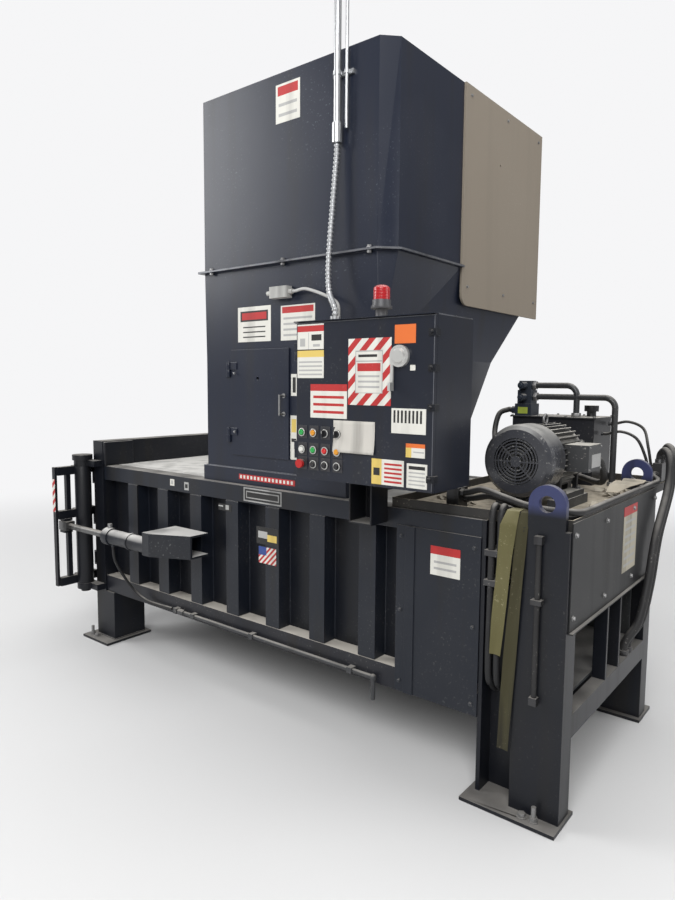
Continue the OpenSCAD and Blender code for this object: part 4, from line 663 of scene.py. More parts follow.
# The unpainted board on the hopper's back: a sheet of kraft board, scuffed and a little
# stained, cut with rounded lower corners and screwed along its edges.
board_paper = soiled("unpainted board", (0.215, 0.185, 0.148), 0.8, dust=0.2, specks=0.4, grime=0.04,
                     patch=2, bump=0.12, dust_colour=(0.32, 0.30, 0.26))
finish_nodes("hopper_board", board_paper, 0.002)
board_columns = (board_low.y + 0.06, board_low.y + 0.5, board_high.y - 0.06)
board_rows = (board_high.z - 0.05, board_low.z + 0.1)
board_places = [(board_high.x, y, z) for y in board_columns for z in board_rows]
hex_bolts("board_screws", board_places, (1, 0, 0), size=0.012, material=bolt_steel)

# The access door in the chute: flat sheet in the hopper's paint, hung on two lift-off
# hinges whose leaves are screwed down, and opened by a bent-rod pull.
finish_nodes("access_door access_hinge", hopper_paint, 0.001)
finish_nodes("access_pull", bolt_steel)
access_low, access_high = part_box("access_door")
leaf_places = [(access_high.x - 0.40, access_high.y - 0.020, access_low.z + up) for up in (0.13, 0.455)]
hex_bolts("access_hinge_screws", leaf_places, (0, -1, 0), size=0.010, material=bolt_steel,
          body="access_door")

# The electrical box: a folded cabinet on a welded bracket, with a pan door on side
# hinges held by screw clamps under a drip hood. Light strips along its top and side edges
# are partly dust and partly a painted highlight where the edges catch the light.
cabinet_paint = soiled("cabinet paint", (0.010, 0.0125, 0.021), 0.32, dust=1.4, specks=0.2, grime=0.35,
                       coat=0.1)
finish_nodes("enclosure_box enclosure_door", cabinet_paint, 0.0015)
finish_nodes("enclosure_bracket", frame_paint, 0.003)
finish_nodes("door_clamps", frame_paint, 0.001)
cabinet_low, cabinet_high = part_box("enclosure_box")
door_low, door_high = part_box("enclosure_door")
door_body = "enclosure_door"
door_face = door_low.y
# Thin light strips on the door's and cabinet's edges: partly dust, partly painted highlight
edge_strip_out = door_face - 0.0007
edge_strip_in = door_face + 0.0003
edge_strip_round = 0.0003
solid_block("door_top_edge", (door_low.x + 0.007, edge_strip_out, door_high.z - 0.0045),
            (door_high.x - 0.001, edge_strip_in, door_high.z - 0.0005), dusty_highlit_edge, edge_strip_round, door_body)
solid_block("door_side_edge", (door_high.x - 0.005, edge_strip_out, door_low.z + 0.007),
            (door_high.x - 0.0015, edge_strip_in, door_high.z - 0.006), dusty_highlit_edge, edge_strip_round, door_body)
solid_block("cabinet_top_edge", (cabinet_high.x - 0.0008, door_high.y + 0.002, cabinet_high.z - 0.0055),
            (cabinet_high.x + 0.0006, cabinet_high.y - 0.006, cabinet_high.z - 0.0005),
            dusty_highlit_edge, edge_strip_round)

# The cabinet door is covered in printed sheets: notices in red, yellow and orange on
# white, a striped one behind a framed card, and a tag of upright bars. All are stuck on.


def door_sign(name, low, high, ground, fields=(), stripes=None):
    return sign("sign_door_" + name, low, high, door_face, ground, fields, body=door_body, stripes=stripes)


door_sign("a", (0.506, 1.919), (0.660, 2.030), sign_white,
          [(0.0, 1.0, 0.70, 0.94, sign_red), (0.42, 0.44, 0.0, 0.66, sign_grey),
           (0.10, 0.30, 0.12, 0.44, sign_grey), (0.54, 0.92, 0.34, 0.58, sign_black),
           (0.60, 0.86, 0.10, 0.20, sign_grey)])
door_sign("b", (0.506, 1.792), (0.661, 1.914), sign_white,
          [(0.0, 1.0, 0.76, 1.0, sign_yellow)] + lines_of_print(4, 0.06, 0.94, 0.10, 0.15, 0.06, sign_grey))
door_sign("striped", (0.798, 1.678), (1.019, 1.957), sign_white,
          [(0.17, 0.81, 0.18, 0.82, sign_grey), (0.19, 0.79, 0.67, 0.80, sign_white),
           (0.19, 0.79, 0.19, 0.65, sign_white), (0.22, 0.76, 0.51, 0.63, sign_red)]
          + lines_of_print(3, 0.24, 0.74, 0.26, 0.08, 0.03, sign_grey)
          + [(0.24, 0.68, 0.72, 0.76, sign_black)], stripes=(sign_red, 0.036))
door_sign("orange", (1.034, 1.930), (1.134, 2.005), sign_orange)
door_sign("c", (0.585, 1.616), (0.792, 1.765), sign_white,
          [(0.0, 1.0, 0.80, 1.0, sign_red)] + lines_of_print(3, 0.08, 0.92, 0.14, 0.22, 0.08, sign_red))
door_sign("tag", (1.024, 1.568), (1.188, 1.670), sign_white,
          upright_marks(8, 0.06, 0.11, 0.06, 0.42, 0.92, sign_black))
door_sign("d", (1.096, 1.474), (1.186, 1.530), sign_white,
          [(0.0, 1.0, 0.7, 1.0, sign_orange), (0.0, 0.3, 0.0, 0.7, sign_yellow),
           (0.4, 0.95, 0.35, 0.45, sign_grey)])
door_sign("e", (0.927, 1.350), (1.088, 1.457), sign_white,
          [(0.0, 0.32, 0.0, 1.0, sign_yellow), (0.06, 0.26, 0.35, 0.65, sign_black)]
          + lines_of_print(5, 0.40, 0.94, 0.10, 0.17, 0.08, sign_red))
door_sign("f", (1.102, 1.350), (1.198, 1.450), sign_white,
          [(0.1, 0.9, 0.76, 0.90, sign_black)] + lines_of_print(4, 0.1, 0.9, 0.12, 0.16, 0.06, sign_grey))
door_sign("g", (1.110, 1.822), (1.134, 1.844), sign_white)

# A sheet of paper is stuck to the cabinet door along its top. It is plain copier paper,
# and its lower edge curls away from the paint.
paper_white = soiled("curled paper", (0.50, 0.48, 0.44), 0.8, dust=0.3, specks=1.0, grime=0.5)
paper_width = 0.223
paper_height = 0.138
paper_x = 0.8305
paper_z = 1.54
paper_thickness = 0.0005
lower_curl = 0.010
ripple = 0.002
bpy.ops.object.select_all(action="DESELECT")
bpy.ops.mesh.primitive_grid_add(x_subdivisions=14, y_subdivisions=10, size=1,
                                location=(paper_x, door_face - 0.002, paper_z), rotation=(quarter, 0, 0))
paper = bpy.context.object
paper.scale = (paper_width, paper_height, 1)
only(paper)
bpy.ops.object.transform_apply(location=True, rotation=True, scale=True)
for point in paper.data.vertices:
    down = (paper_z + paper_height / 2 - point.co.z) / paper_height
    point.co.y -= lower_curl * down ** 3 + ripple * math.sin(point.co.x * 60) * down
shell = paper.modifiers.new("sheet", "SOLIDIFY")
shell.thickness = paper_thickness
bpy.ops.object.modifier_apply(modifier="sheet")
bpy.ops.object.shade_smooth()
settle(paper, "door_paper", paper_white, door_body)

# The operating devices: bezels and legend plates of bright metal, pilot lights with
# coloured lenses, black buttons and selectors, and the red stop button, all clamped in
# holes in three rows.
device_metal = soiled("device metal", (0.60, 0.60, 0.58), 0.32, 0.6, dust=0.3, specks=0.6, grime=0.3,
                      bump=0.05)
device_black = soiled("device black", (0.018, 0.018, 0.02), 0.45, dust=0.5, specks=0.6, grime=0.1, bump=0.1)
stop_red = soiled("stop red", (0.42, 0.015, 0.015), 0.35, dust=0.4, specks=0.4, grime=0.2, bump=0.05)
legend_plate = soiled("legend plate", (0.05, 0.05, 0.055), 0.4, 0.4, dust=0.5, specks=0.6, grime=0.2)
white_ring = soiled("worn white", (0.50, 0.50, 0.48), 0.4, dust=0.4, specks=0.6)
finish_nodes("disconnect_handle", device_metal, 0.0006)
finish_nodes("button_bezels", legend_plate, 0.0006)
finish_nodes("button_left button_middle button_right selector_left selector_right", device_black)
finish_nodes("stop_button", stop_red)


def plain(name, colour, roughness):
    """A clean finish in one colour."""
    material = bpy.data.materials.new(name)
    material.use_nodes = True
    shader = material.node_tree.nodes["Principled BSDF"]
    shader.inputs["Base Color"].default_value = (*colour, 1)
    shader.inputs["Roughness"].default_value = roughness
    return material


lens_green = plain("green lens", (0.02, 0.30, 0.06), 0.2)
lens_amber = plain("amber lens", (0.60, 0.25, 0.02), 0.2)
lens_clear = plain("white lens", (0.62, 0.62, 0.58), 0.25)
lens_red = plain("red lens", (0.50, 0.02, 0.02), 0.2)
columns = (0.539, 0.607, 0.674, 0.743)
rows = (1.548, 1.470, 1.406)
lenses = [(columns[0], rows[0], lens_green), (columns[1], rows[0], lens_amber)]
second_row = (lens_clear, lens_green, lens_red, lens_amber)
lenses += [(x, rows[1], finish) for x, finish in zip(columns, second_row)]
for i, (x, z, finish) in enumerate(lenses):
    turned("pilot_lens_%d" % i, (x, door_face - 0.0135, z), "y", radius=0.0135, tip=0.011, height=0.008,
           material=finish, edge=0.002, body=door_body)


def torus(name, place, rotation, radius, thickness, segments, round_segments, material, body="frame"):
    """Ring of round bar."""
    bpy.ops.object.select_all(action="DESELECT")
    bpy.ops.mesh.primitive_torus_add(major_radius=radius, minor_radius=thickness, major_segments=segments,
                                     minor_segments=round_segments, location=place, rotation=rotation)
    bpy.ops.object.shade_smooth()
    return settle(bpy.context.object, name, material, body)


# The stop button's head covers its ring, so that place has none
ring_places = [(x, z) for z in rows for x in columns if (x, z) != (columns[0], rows[2])]
for i, (x, z) in enumerate(ring_places):
    ring_finish = device_metal if z == rows[0] else white_ring
    torus("device_ring_%d" % i, (x, door_face - 0.0095, z), (quarter, 0, 0), radius=0.0165,
          thickness=0.0022, segments=36, round_segments=10, material=ring_finish, body=door_body)
mark_length = 0.013
half_mark = 0.001
mark_front = door_face - 0.0312
mark_back = door_face - 0.0303
for name, x in (("left", columns[2]), ("right", columns[3])):
    solid_block("selector_mark_" + name, (x - half_mark, mark_front, rows[0]),
                (x + half_mark, mark_back, rows[0] + mark_length), white_ring, edge=0.0002,
                body="selector_" + name)

# The beacon on the box: a grey cast base screwed down through the hood, and a red
# moulded lens with three ribs round it.
beacon_red = soiled("beacon red", (0.40, 0.014, 0.018), 0.16, dust=0.7, specks=0.5, coat=0.5,
                    dust_colour=(0.55, 0.38, 0.36))
beacon_grey = soiled("beacon base", (0.07, 0.07, 0.075), 0.4, 0.2, dust=0.8, specks=0.5)
finish_nodes("beacon_base", beacon_grey, 0.002)
finish_nodes("beacon_lens", beacon_red)
lens_low, lens_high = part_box("beacon_lens")
lens_middle = (lens_low + lens_high) / 2
lowest_rib = 0.012
rib_step = 0.013
for i in range(3):
    turned("beacon_rib_%d" % i, (lens_middle.x, lens_middle.y, lens_low.z + lowest_rib + rib_step * i), "z",
           radius=0.0372, height=0.003, material=beacon_red, edge=0.0008, sides=48)

# Conduit and cable to the box: galvanised tube with a strap and coupling, then flexible
# conduit down to a gland, and a light cable from the small switch on the chute.
zinc = (0.46, 0.47, 0.48)
galvanised = soiled("galvanised tube", zinc, 0.35, 0.9, dust=0.3, specks=0.5, grime=0.3, bump=0.05)
flex_metal = soiled("flexible conduit", zinc, 0.34, 0.8, dust=0.3, specks=0.3, grime=0.3, bump=0.05)
switch_grey = soiled("switch grey", (0.45, 0.45, 0.43), 0.5, dust=0.5, specks=0.5)
light_cable = soiled("light cable", (0.42, 0.42, 0.41), 0.5, dust=0.4, specks=0.4)
finish_nodes("rigid_conduit", galvanised)
finish_nodes("switch_box", switch_grey, 0.001)


def smooth_route(points, cuts):
    """The same curve through the chosen points that the solid tube follows."""
    route = []
    for i in range(len(points) - 1):
        a, b, c, d = (Vector(points[min(max(i + k, 0), len(points) - 1)]) for k in (-1, 0, 1, 2))
        for j in range(cuts):
            t = j / cuts
            route.append(0.5 * (2 * b + (c - a) * t + (2 * a - 5 * b + 4 * c - d) * t * t
                                + (3 * b - a - 3 * c + d) * t ** 3))
    return route + [Vector(points[-1])]


def even_route(route, length, steps):
    """The same route with its points at even distances."""
    even = []
    for k in range(steps + 1):
        want = length * k / steps
        gone = 0.0
        for a, b in zip(route, route[1:]):
            step = (b - a).length
            if gone + step >= want - 1e-9:
                even.append(a.lerp(b, min(1, (want - gone) / step)))
                break
            gone += step
    return even


def hose(name, points, radius, material, node=None, swell=0.0, pitch=0.0):
    """Round tube along a route in millimetres; swell and pitch ridge it."""
    route = smooth_route([tuple(v / 1000 for v in point) for point in points], 8)
    length = sum((b - a).length for a, b in zip(route, route[1:]))
    if pitch:
        route = even_route(route, length, int(length / pitch * 4))
    line = bpy.data.curves.new(name, "CURVE")
    line.dimensions = "3D"
    strand = line.splines.new("POLY")
    strand.points.add(len(route) - 1)
    for k, (point, place) in enumerate(zip(strand.points, route)):
        point.co = (*place, 1)
        point.radius = 1 - swell * (k % 4 > 1)
    line.bevel_depth = radius
    line.bevel_resolution = 4
    line.use_fill_caps = True
    piece = bpy.data.objects.new(name, line)
    bpy.context.scene.collection.objects.link(piece)
    only(piece)
    bpy.ops.object.convert(target="MESH")
    piece = bpy.context.object
    bpy.ops.object.shade_smooth_by_angle(angle=math.radians(50))
    settle(piece, name, material)
    if node:
        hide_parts(node)
    return piece


hose("flexible_conduit",
     [(503, -592, 2907), (503, -592, 2895), (503, -594, 2835), (494, -606, 2645), (484, -626, 2345),
      (508, -650, 2205), (570, -692, 2132), (586, -700, 2102), (586, -700, 2066)],
     radius=0.015, material=flex_metal, node="flex_conduit", swell=0.30, pitch=0.020)
hose("switch_lead",
     [(202, -584, 2233), (236, -585, 2234), (326, -594, 2234), (508, -606, 2164), (526, -598, 2094),
      (524, -600, 2056)],
     radius=0.008, material=light_cable, node="switch_cable")

# The pipe under the chamber's near rail: steel tube painted with the machine, held in
# clips and turned down at its end.
pipe_paint = soiled("pipe paint", (0.05, 0.052, 0.056), 0.45, 0.3, dust=1.0, specks=0.7)
finish_nodes("floor_pipe", pipe_paint)

# The deck is a folded tray between the rear legs that carries the power unit. Oil,
# fluff and dust have caked on it.
deck_steel = soiled("caked deck", (0.022, 0.021, 0.020), 0.5, dust=1.25, specks=0.9, grime=0.8, patch=24,
                    dust_colour=(0.44, 0.39, 0.31))
finish_nodes("deck_tray", deck_steel, 0.002)

# The motor: a finned cast frame bolted down by its feet, with a pressed cowl and ringed
# guard over its fan, a lifting ring on top and a terminal box on its side.
motor_iron = soiled("dusty motor iron", (0.030, 0.032, 0.036), 0.42, dust=1.5, specks=0.7, patch=16,
                    dust_colour=(0.45, 0.43, 0.39))
cowl_sheet = soiled("motor cowl", (0.030, 0.032, 0.040), 0.24, dust=0.9, specks=0.6, patch=10,
                    dust_colour=(0.5, 0.49, 0.46), coat=0.4)
fan_alloy = soiled("fan alloy", (0.10, 0.10, 0.10), 0.5, 0.5, dust=0.6, specks=0.6)
finish_nodes("motor_body pump", motor_iron)
finish_nodes("fan_cowl", cowl_sheet)
finish_nodes("motor_fan", fan_alloy)
cowl_low, cowl_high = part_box("fan_cowl")
motor_low, motor_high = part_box("motor_body")
motor_x = (cowl_low.x + cowl_high.x) / 2
motor_z = (cowl_low.z + cowl_high.z) / 2
screw_circle = 0.148
cowl_places = [(motor_x + screw_circle * math.cos(angle), cowl_low.y + 0.018,
                motor_z + screw_circle * math.sin(angle)) for angle in corner_angles]
hex_bolts("cowl_screws", cowl_places, (0, -1, 0), size=0.012, material=bolt_steel)
ring_y = -0.06
torus("motor_lifting_ring", (motor_x, ring_y, motor_z + 0.175), (0, quarter, 0), radius=0.022,
      thickness=0.006, segments=32, round_segments=12, material=bolt_steel)
turned("motor_ring_stem", (motor_x, ring_y, motor_z + 0.146), "z", radius=0.008, height=0.02,
       material=bolt_steel)
terminal_face = motor_high.x
sign("motor_plate", (-0.12, 1.40), (0.0, 1.46), terminal_face, sign_metal, normal="+x")
terminal_places = [(terminal_face, y, z) for y in (-0.15, 0.0) for z in (1.393, 1.493)]
hex_bolts("terminal_screws", terminal_places, (1, 0, 0), size=0.008, material=bolt_steel)
foot_top = 1.281
foot_reach = 0.137
foot_places = [(motor_x + side * foot_reach, y, foot_top) for side in (-1, 1) for y in (-0.16, 0.03)]
hex_bolts("motor_foot_bolts", foot_places, (0, 0, 1), size=0.02, material=bolt_steel)

# The oil tank: a welded box with a screwed lid, which carries the filler and the valve
# stack. Swept steel pipes leave the valves, each held by a union nut.
tank_paint = soiled("tank paint", (0.014, 0.015, 0.019), 0.38, dust=1.2, specks=0.4, patch=8)
valve_paint = soiled("valve paint", (0.025, 0.032, 0.045), 0.42, 0.1, dust=0.9, specks=0.9, patch=18)
pipe_steel = soiled("pipe steel", (0.045, 0.047, 0.05), 0.35, 0.4, dust=0.8, specks=0.5)
green_tag = soiled("green tag", (0.35, 0.42, 0.06), 0.5, dust=0.3, specks=0.4)
finish_nodes("oil_tank", tank_paint, 0.002)
finish_nodes("valve_stack", valve_paint, 0.002)
finish_nodes("pressure_pipes", pipe_steel)
valve_low, valve_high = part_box("valve_stack")
pipe_low, pipe_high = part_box("pressure_pipes")
lid_z = valve_low.z
pipe_y = (pipe_low.y + pipe_high.y) / 2
stack_x = 0.93
nut_height = 0.022
nut_seat = 0.012
for x, z, axis in ((stack_x + 0.048, lid_z + 0.178, "x"), (stack_x + 0.054, lid_z + 0.112, "x"),
                   (stack_x + 0.296, lid_z + nut_seat, "z"), (1.44, pipe_low.z + nut_seat, "z")):
    turned("pipe_nut", (x, pipe_y, z), axis, radius=0.027, height=nut_height, material=bolt_steel,
           edge=0.002, sides=6)
sign("stack_tag", (stack_x - 0.03, lid_z + 0.012), (stack_x + 0.03, lid_z + 0.05), pipe_y - 0.06, green_tag)
sign("tank_plate", (1.10, 1.40), (1.20, 1.47), 0.644, sign_metal)
lid_columns = (0.87, 1.03, 1.19, 1.35)
lid_places = [(x, y, lid_z) for x in lid_columns for y in (0.640, 0.948)]
hex_bolts("lid_screws", lid_places, (0, 0, 1), size=0.012, material=bolt_steel)

# Hoses: black rubber with crimped steel ferrules at each fitting. Two run from a block
# near the box round the lifting ear and along the deck's rear edge; two thicker ones
# leave the corner's valve block and hang down the back to the lower beam.
hose_rubber = soiled("hose rubber", (0.016, 0.016, 0.017), 0.55, dust=0.8, specks=0.5, patch=12)
fitting_steel = soiled("blackened steel", (0.055, 0.055, 0.058), 0.38, 0.6, dust=1.0, specks=0.8, patch=18)
finish_nodes("hose_fittings", fitting_steel, 0.001)
for name, x, node in (("a", 1364, "rear_hoses"), ("b", 1402, None)):
    hose("leg_hose_" + name,
         [(x, -514, 1233), (x, -548, 1237), (x, -594, 1270), (x, -619, 1234), (x, -619, 1165),
          (x, -619, 910), (x, -619, 570), (x, -578, 494), (x, -548, 470), (x, -532, 470)],
         radius=0.014, material=hose_rubber, node=node)
hose("leg_hose_c", [(1576, -644, 1155), (1576, -644, 910), (1576, -644, 520)], radius=0.011,
     material=hose_rubber)
hose("suction_hose",
     [(1282, 302, 1433), (1260, 302, 1433), (1200, 292, 1413), (870, 496, 1393), (780, 596, 1473),
      (770, 666, 1589), (810, 706, 1619), (834, 706, 1619), (852, 706, 1619)],
     radius=0.016, material=hose_rubber, node="deck_hoses")
hose("drain_hose",
     [(1418, 302, 1433), (1440, 302, 1433), (1500, 312, 1383), (1500, 342, 1281), (1346, 514, 1271),
      (1298, 584, 1271), (1290, 614, 1271), (1290, 628, 1271)],
     radius=0.016, material=hose_rubber)
hose("edge_hose_outer",
     [(1162, -495, 1290), (1200, -503, 1299), (1280, -545, 1322), (1380, -572, 1307), (1480, -584, 1287),
      (1560, -582, 1277), (1640, -560, 1273), (1680, -510, 1267.6), (1688, -440, 1264.6),
      (1688, -195, 1264.6), (1688, 500, 1264.6), (1688, 650, 1264.6), (1680, 690, 1272.6),
      (1646, 720, 1287), (1650, 734, 1290), (1650, 748, 1290)],
     radius=0.014, material=hose_rubber)
hose("edge_hose_inner",
     [(1162, -461, 1262), (1204, -469, 1268), (1290, -508, 1290), (1380, -538, 1288), (1480, -548, 1262),
      (1560, -546, 1246), (1630, -523, 1240), (1655, -470, 1239), (1656, -400, 1238), (1654, -95, 1228),
      (1646, 430, 1231), (1640, 532, 1241), (1640, 564, 1243)],
     radius=0.014, material=hose_rubber)
for name, top, foot, lower in (("a", 864, 320, 0), ("b", 800, 260, 1)):
    hose("down_hose_" + name,
         [(1660, top, 1361), (1660, top, 1380), (1667, top - 4, 1411 - 8 * lower),
          (1693, top - 30, 1439 - 18 * lower), (1728, top - 80, 1396 - 18 * lower), (1743, top - 160, 1235),
          (1742, foot + 185, 1010), (1736, foot + 100, 780), (1718, foot + 40, 610), (1682, foot + 8, 530),
          (1665, foot, 486), (1665, foot, 456)],
         radius=0.020, material=hose_rubber)

# Two thin hoses run from the end of the tank to the corner's valve block, and one hangs
# from the latch cylinder and runs along the rail to the pipe. All are the same black
# rubber, screwed into hexagonal ports.
block_y = 0.80
for i, y in enumerate((0.735, 0.860)):
    port_z = 1.50 + 0.05 * i
    end_y = block_y + 0.05 * i
    end_z = 1.285 + 0.03 * i
    turned("tank_port_%d" % i, (1.3685, y, port_z), "x", radius=0.013, height=0.012, material=black_bolt,
           edge=0.001, sides=6)
    turned("block_port_%d" % i, (1.6275, end_y, end_z), "x", radius=0.012, height=0.012, material=black_bolt,
           edge=0.001, sides=6)
    across = 1000 * y
    up = 1000 * port_z
    end_across = 1000 * end_y
    end_up = 1000 * end_z
    hose("tank_hose_%d" % i,
         [(1374, across, up), (1395, across, up), (1470, across + 4, up + 15), (1548, across + 20, up - 22),
          (1590, end_across - 20, up - 120), (1604, end_across, end_up + 15), (1613, end_across, end_up + 1),
          (1622, end_across, end_up)],
         radius=0.008, material=hose_rubber)
port_y = -0.793
port_top = 0.748
turned("lock_port", (-1.12, port_y, port_top), "z", radius=0.014, height=0.016, material=black_bolt,
       edge=0.001, sides=6)
turned("lock_port_plug", (-0.80, port_y, port_top), "z", radius=0.012, height=0.014, material=black_bolt,
       edge=0.001, sides=6)
hose("lock_hose",
     [(-1120, -793, 741), (-1120, -793, 722), (-1122, -778, 640), (-1118, -715, 520), (-1085, -662, 425),
      (-1000, -640, 380), (-880, -634, 374), (-790, -631, 376), (-752, -630, 376)],
     radius=0.009, material=hose_rubber)

# A worn webbing strap hangs in two lengths over the deck's edge beside the ear, and a
# rag lies on the hoses at the rear. Both are loose woven stuff, dulled by oil.
webbing = soiled("worn webbing", (0.105, 0.095, 0.040), 0.85, dust=0.8, specks=0.7, grime=1.0, patch=9,
                 dust_colour=(0.40, 0.37, 0.24))
# The strap's back length is given a darker copy of the same webbing
darker_webbing = soiled("dark webbing", (0.045, 0.041, 0.020), 0.88, dust=0.5, specks=0.6, grime=1.0, patch=14,
                     dust_colour=(0.22, 0.20, 0.14))
rag_cloth = soiled("rag cloth", (0.34, 0.30, 0.24), 0.9, dust=0.5, specks=0.8, grime=0.7, patch=20,
                   dust_colour=(0.50, 0.46, 0.38))


def ribbon(name, path, widths, thick, material, ripple):
    """Woven strip along (x of its middle, y, z) points, as wide as each width."""
    bpy.ops.object.select_all(action="DESELECT")
    bpy.ops.mesh.primitive_grid_add(x_subdivisions=8, y_subdivisions=(len(path) - 1) * 6, size=1)
    strip = bpy.context.object
    for point in strip.data.vertices:
        along = (point.co.y + 0.5) * (len(path) - 1)
        k = min(int(along), len(path) - 2)
        t = along - k
        t = t * t * (3 - 2 * t)
        middle = Vector(path[k]).lerp(Vector(path[k + 1]), t)
        width = widths[k] + (widths[k + 1] - widths[k]) * t
        sway = ripple * math.sin(along * 2.1 + point.co.x * 2.5)
        crown = 0.10 * width * math.cos(math.pi * point.co.x)
        point.co = middle + Vector((point.co.x * width, sway + crown, 0))
    only(strip)
    shell = strip.modifiers.new("weave", "SOLIDIFY")
    shell.thickness = thick
    bpy.ops.object.modifier_apply(modifier="weave")
    bpy.ops.object.shade_smooth_by_angle(angle=math.radians(50))
    return settle(strip, name, material)


ribbon("strap_front",
       [(1.470, -0.560, 1.262), (1.462, -0.588, 1.268), (1.452, -0.612, 1.262), (1.447, -0.648, 1.205),
        (1.440, -0.656, 1.10), (1.430, -0.656, 0.95), (1.418, -0.657, 0.80), (1.408, -0.656, 0.66)],
       [0.05, 0.05, 0.055, 0.070, 0.066, 0.060, 0.056, 0.050], thick=0.0014, material=webbing, ripple=0.003)
ribbon("strap_back",
       [(1.512, -0.560, 1.262), (1.507, -0.588, 1.268), (1.502, -0.610, 1.260), (1.500, -0.634, 1.20),
        (1.492, -0.642, 1.05), (1.480, -0.642, 0.85), (1.468, -0.643, 0.65), (1.455, -0.642, 0.42),
        (1.448, -0.640, 0.26)],
       [0.036, 0.036, 0.038, 0.046, 0.050, 0.052, 0.054, 0.054, 0.050], thick=0.0014,
       material=darker_webbing, ripple=0.003)
ribbon("rag",
       [(1.600, 0.17, 1.258), (1.622, 0.22, 1.290), (1.634, 0.29, 1.297), (1.640, 0.36, 1.291),
        (1.636, 0.42, 1.298), (1.618, 0.47, 1.270)],
       [0.05, 0.10, 0.12, 0.10, 0.11, 0.06], thick=0.003, material=rag_cloth, ripple=0.006)

# Scraps of paper and board have blown onto the deck and stuck in the oil, each lifting
# a little where it has curled. They are torn, so no two have the same size or lie.
scrap_paper = soiled("scrap paper", (0.42, 0.38, 0.31), 0.9, dust=0.6, specks=0.8, grime=0.8, patch=18,
                     dust_colour=(0.55, 0.51, 0.43))
scrap_lies = ((1.600, -0.34, 0.060, 0.3), (1.570, -0.22, 0.045, 1.2), (1.612, -0.10, 0.070, 2.2),
              (1.585, 0.03, 0.050, 0.8), (1.605, 0.13, 0.060, 1.9), (1.560, 0.30, 0.075, 2.8),
              (1.530, 0.43, 0.055, 0.5), (1.455, 0.47, 0.065, 1.5), (1.575, 0.52, 0.045, 2.5),
              (1.120, -0.36, 0.050, 0.9), (1.070, -0.20, 0.065, 2.0), (1.110, 0.02, 0.055, 1.4),
              (1.050, 0.20, 0.070, 0.2), (0.960, 0.36, 0.060, 1.1), (0.940, -0.30, 0.055, 2.6),
              (1.520, -0.42, 0.050, 1.7))
scraps = []
for i, (x, y, size, turn) in enumerate(scrap_lies):
    across = size * math.cos(turn)
    up = size * math.sin(turn)
    scrap_path = [(x - across / 2, y - up / 2, 1.2135), (x - across / 5, y - up / 5, 1.220 + size * 0.18),
                  (x + across / 4, y + up / 4, 1.216 + size * 0.10), (x + across / 2, y + up / 2, 1.2140)]
    scrap_widths = [size * 0.5, size * 0.9, size * 0.7, size * 0.3]
    scraps.append(ribbon("scrap_%d" % i, scrap_path, scrap_widths, thick=0.0016, material=scrap_paper,
                         ripple=size * 0.10))
joined("deck_scraps", scraps)

# The studio: a pale floor that fades into the white background, lit by large soft lamps
# in front, at the left, above and at the right.
bpy.ops.mesh.primitive_plane_add(size=60, location=(0, 0, -0.0005))
ground = bpy.context.object
ground.name = "studio_floor"
floor_finish = plain("pale floor", (0.66, 0.66, 0.66), 0.7)
white_room = (0.92, 0.92, 0.93, 1)
tree = floor_finish.node_tree
place = tree.nodes.new("ShaderNodeTexCoord")
distance = tree.nodes.new("ShaderNodeVectorMath")
distance.operation = "LENGTH"
tree.links.new(place.outputs["Object"], distance.inputs[0])
fade = tree.nodes.new("ShaderNodeMapRange")
fade.interpolation_type = "SMOOTHSTEP"
fade.inputs["From Min"].default_value = 2.6
fade.inputs["From Max"].default_value = 8.5
tree.links.new(distance.outputs["Value"], fade.inputs["Value"])
glow = tree.nodes.new("ShaderNodeEmission")
glow.inputs["Color"].default_value = white_room
blend = tree.nodes.new("ShaderNodeMixShader")
tree.links.new(fade.outputs["Result"], blend.inputs["Fac"])
tree.links.new(tree.nodes["Principled BSDF"].outputs["BSDF"], blend.inputs[1])
tree.links.new(glow.outputs["Emission"], blend.inputs[2])
tree.links.new(blend.outputs["Shader"], tree.nodes["Material Output"].inputs["Surface"])
ground.data.materials.append(floor_finish)


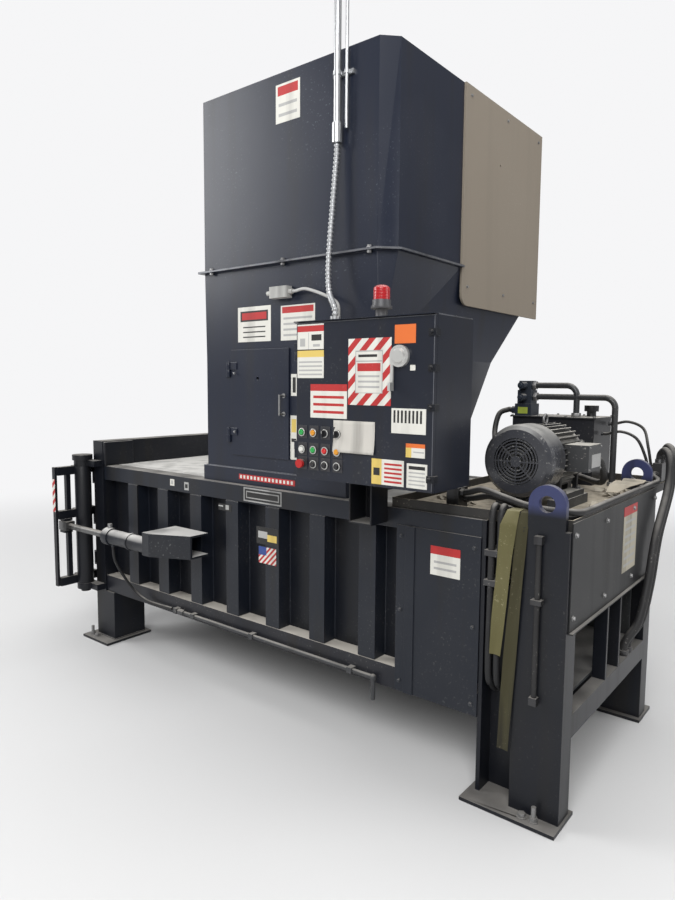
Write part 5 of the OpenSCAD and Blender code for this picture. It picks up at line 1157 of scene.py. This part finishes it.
def soft_lamp(name, place, target, size, power):
    """Square area lamp at a place, turned to a target."""
    lamp = bpy.data.lights.new(name, "AREA")
    lamp.size = size
    lamp.energy = power
    holder = bpy.data.objects.new(name, lamp)
    bpy.context.scene.collection.objects.link(holder)
    holder.location = place
    holder.rotation_euler = (Vector(target) - Vector(place)).to_track_quat("-Z", "Y").to_euler()


soft_lamp("lamp_front", (3.5, -6.5, 6.0), (0, 0, 1.4), size=5, power=560)
soft_lamp("lamp_left", (-6.5, -4.0, 5.0), (0, 0, 1.2), size=4, power=340)
soft_lamp("lamp_top", (0.5, 1.0, 8.0), (0.2, 0, 1), size=6, power=380)
soft_lamp("lamp_right", (7.0, 2.0, 4.5), (0.5, 0, 1.4), size=4, power=130)

# The background is white to the camera and dimmer as light, so that the dark paint
# keeps its depth.
world = bpy.data.worlds.new("studio")
bpy.context.scene.world = world
world.use_nodes = True
tree = world.node_tree
sky = tree.nodes["Background"]
sky.inputs["Color"].default_value = white_room
rays = tree.nodes.new("ShaderNodeLightPath")
seen = arithmetic(tree, "MAXIMUM", rays.outputs["Is Camera Ray"], rays.outputs["Is Transmission Ray"])
level = tree.nodes.new("ShaderNodeMapRange")
level.inputs["To Min"].default_value = 0.25
level.inputs["To Max"].default_value = 1.0
tree.links.new(seen, level.inputs["Value"])
tree.links.new(level.outputs["Result"], sky.inputs["Strength"])

# The camera stands where the photograph was taken, at a grown person's eye height, and
# looks a little down.
lens = bpy.data.cameras.new("photo_camera")
lens.sensor_fit = "HORIZONTAL"
lens.sensor_width = 36
lens.lens = 36
camera = bpy.data.objects.new("photo_camera", lens)
bpy.context.scene.collection.objects.link(camera)
standpoint = Matrix.Translation((2.58, -3.16, 1.766))
heading = Matrix.Rotation(math.radians(38.74), 4, "Z")
pitch = Matrix.Rotation(math.radians(90 - 5.58), 4, "X")
roll = Matrix.Rotation(math.radians(0.43), 4, "Z")
camera.matrix_world = standpoint @ heading @ pitch @ roll
bpy.context.scene.camera = camera
bpy.context.scene.view_settings.view_transform = "Standard"
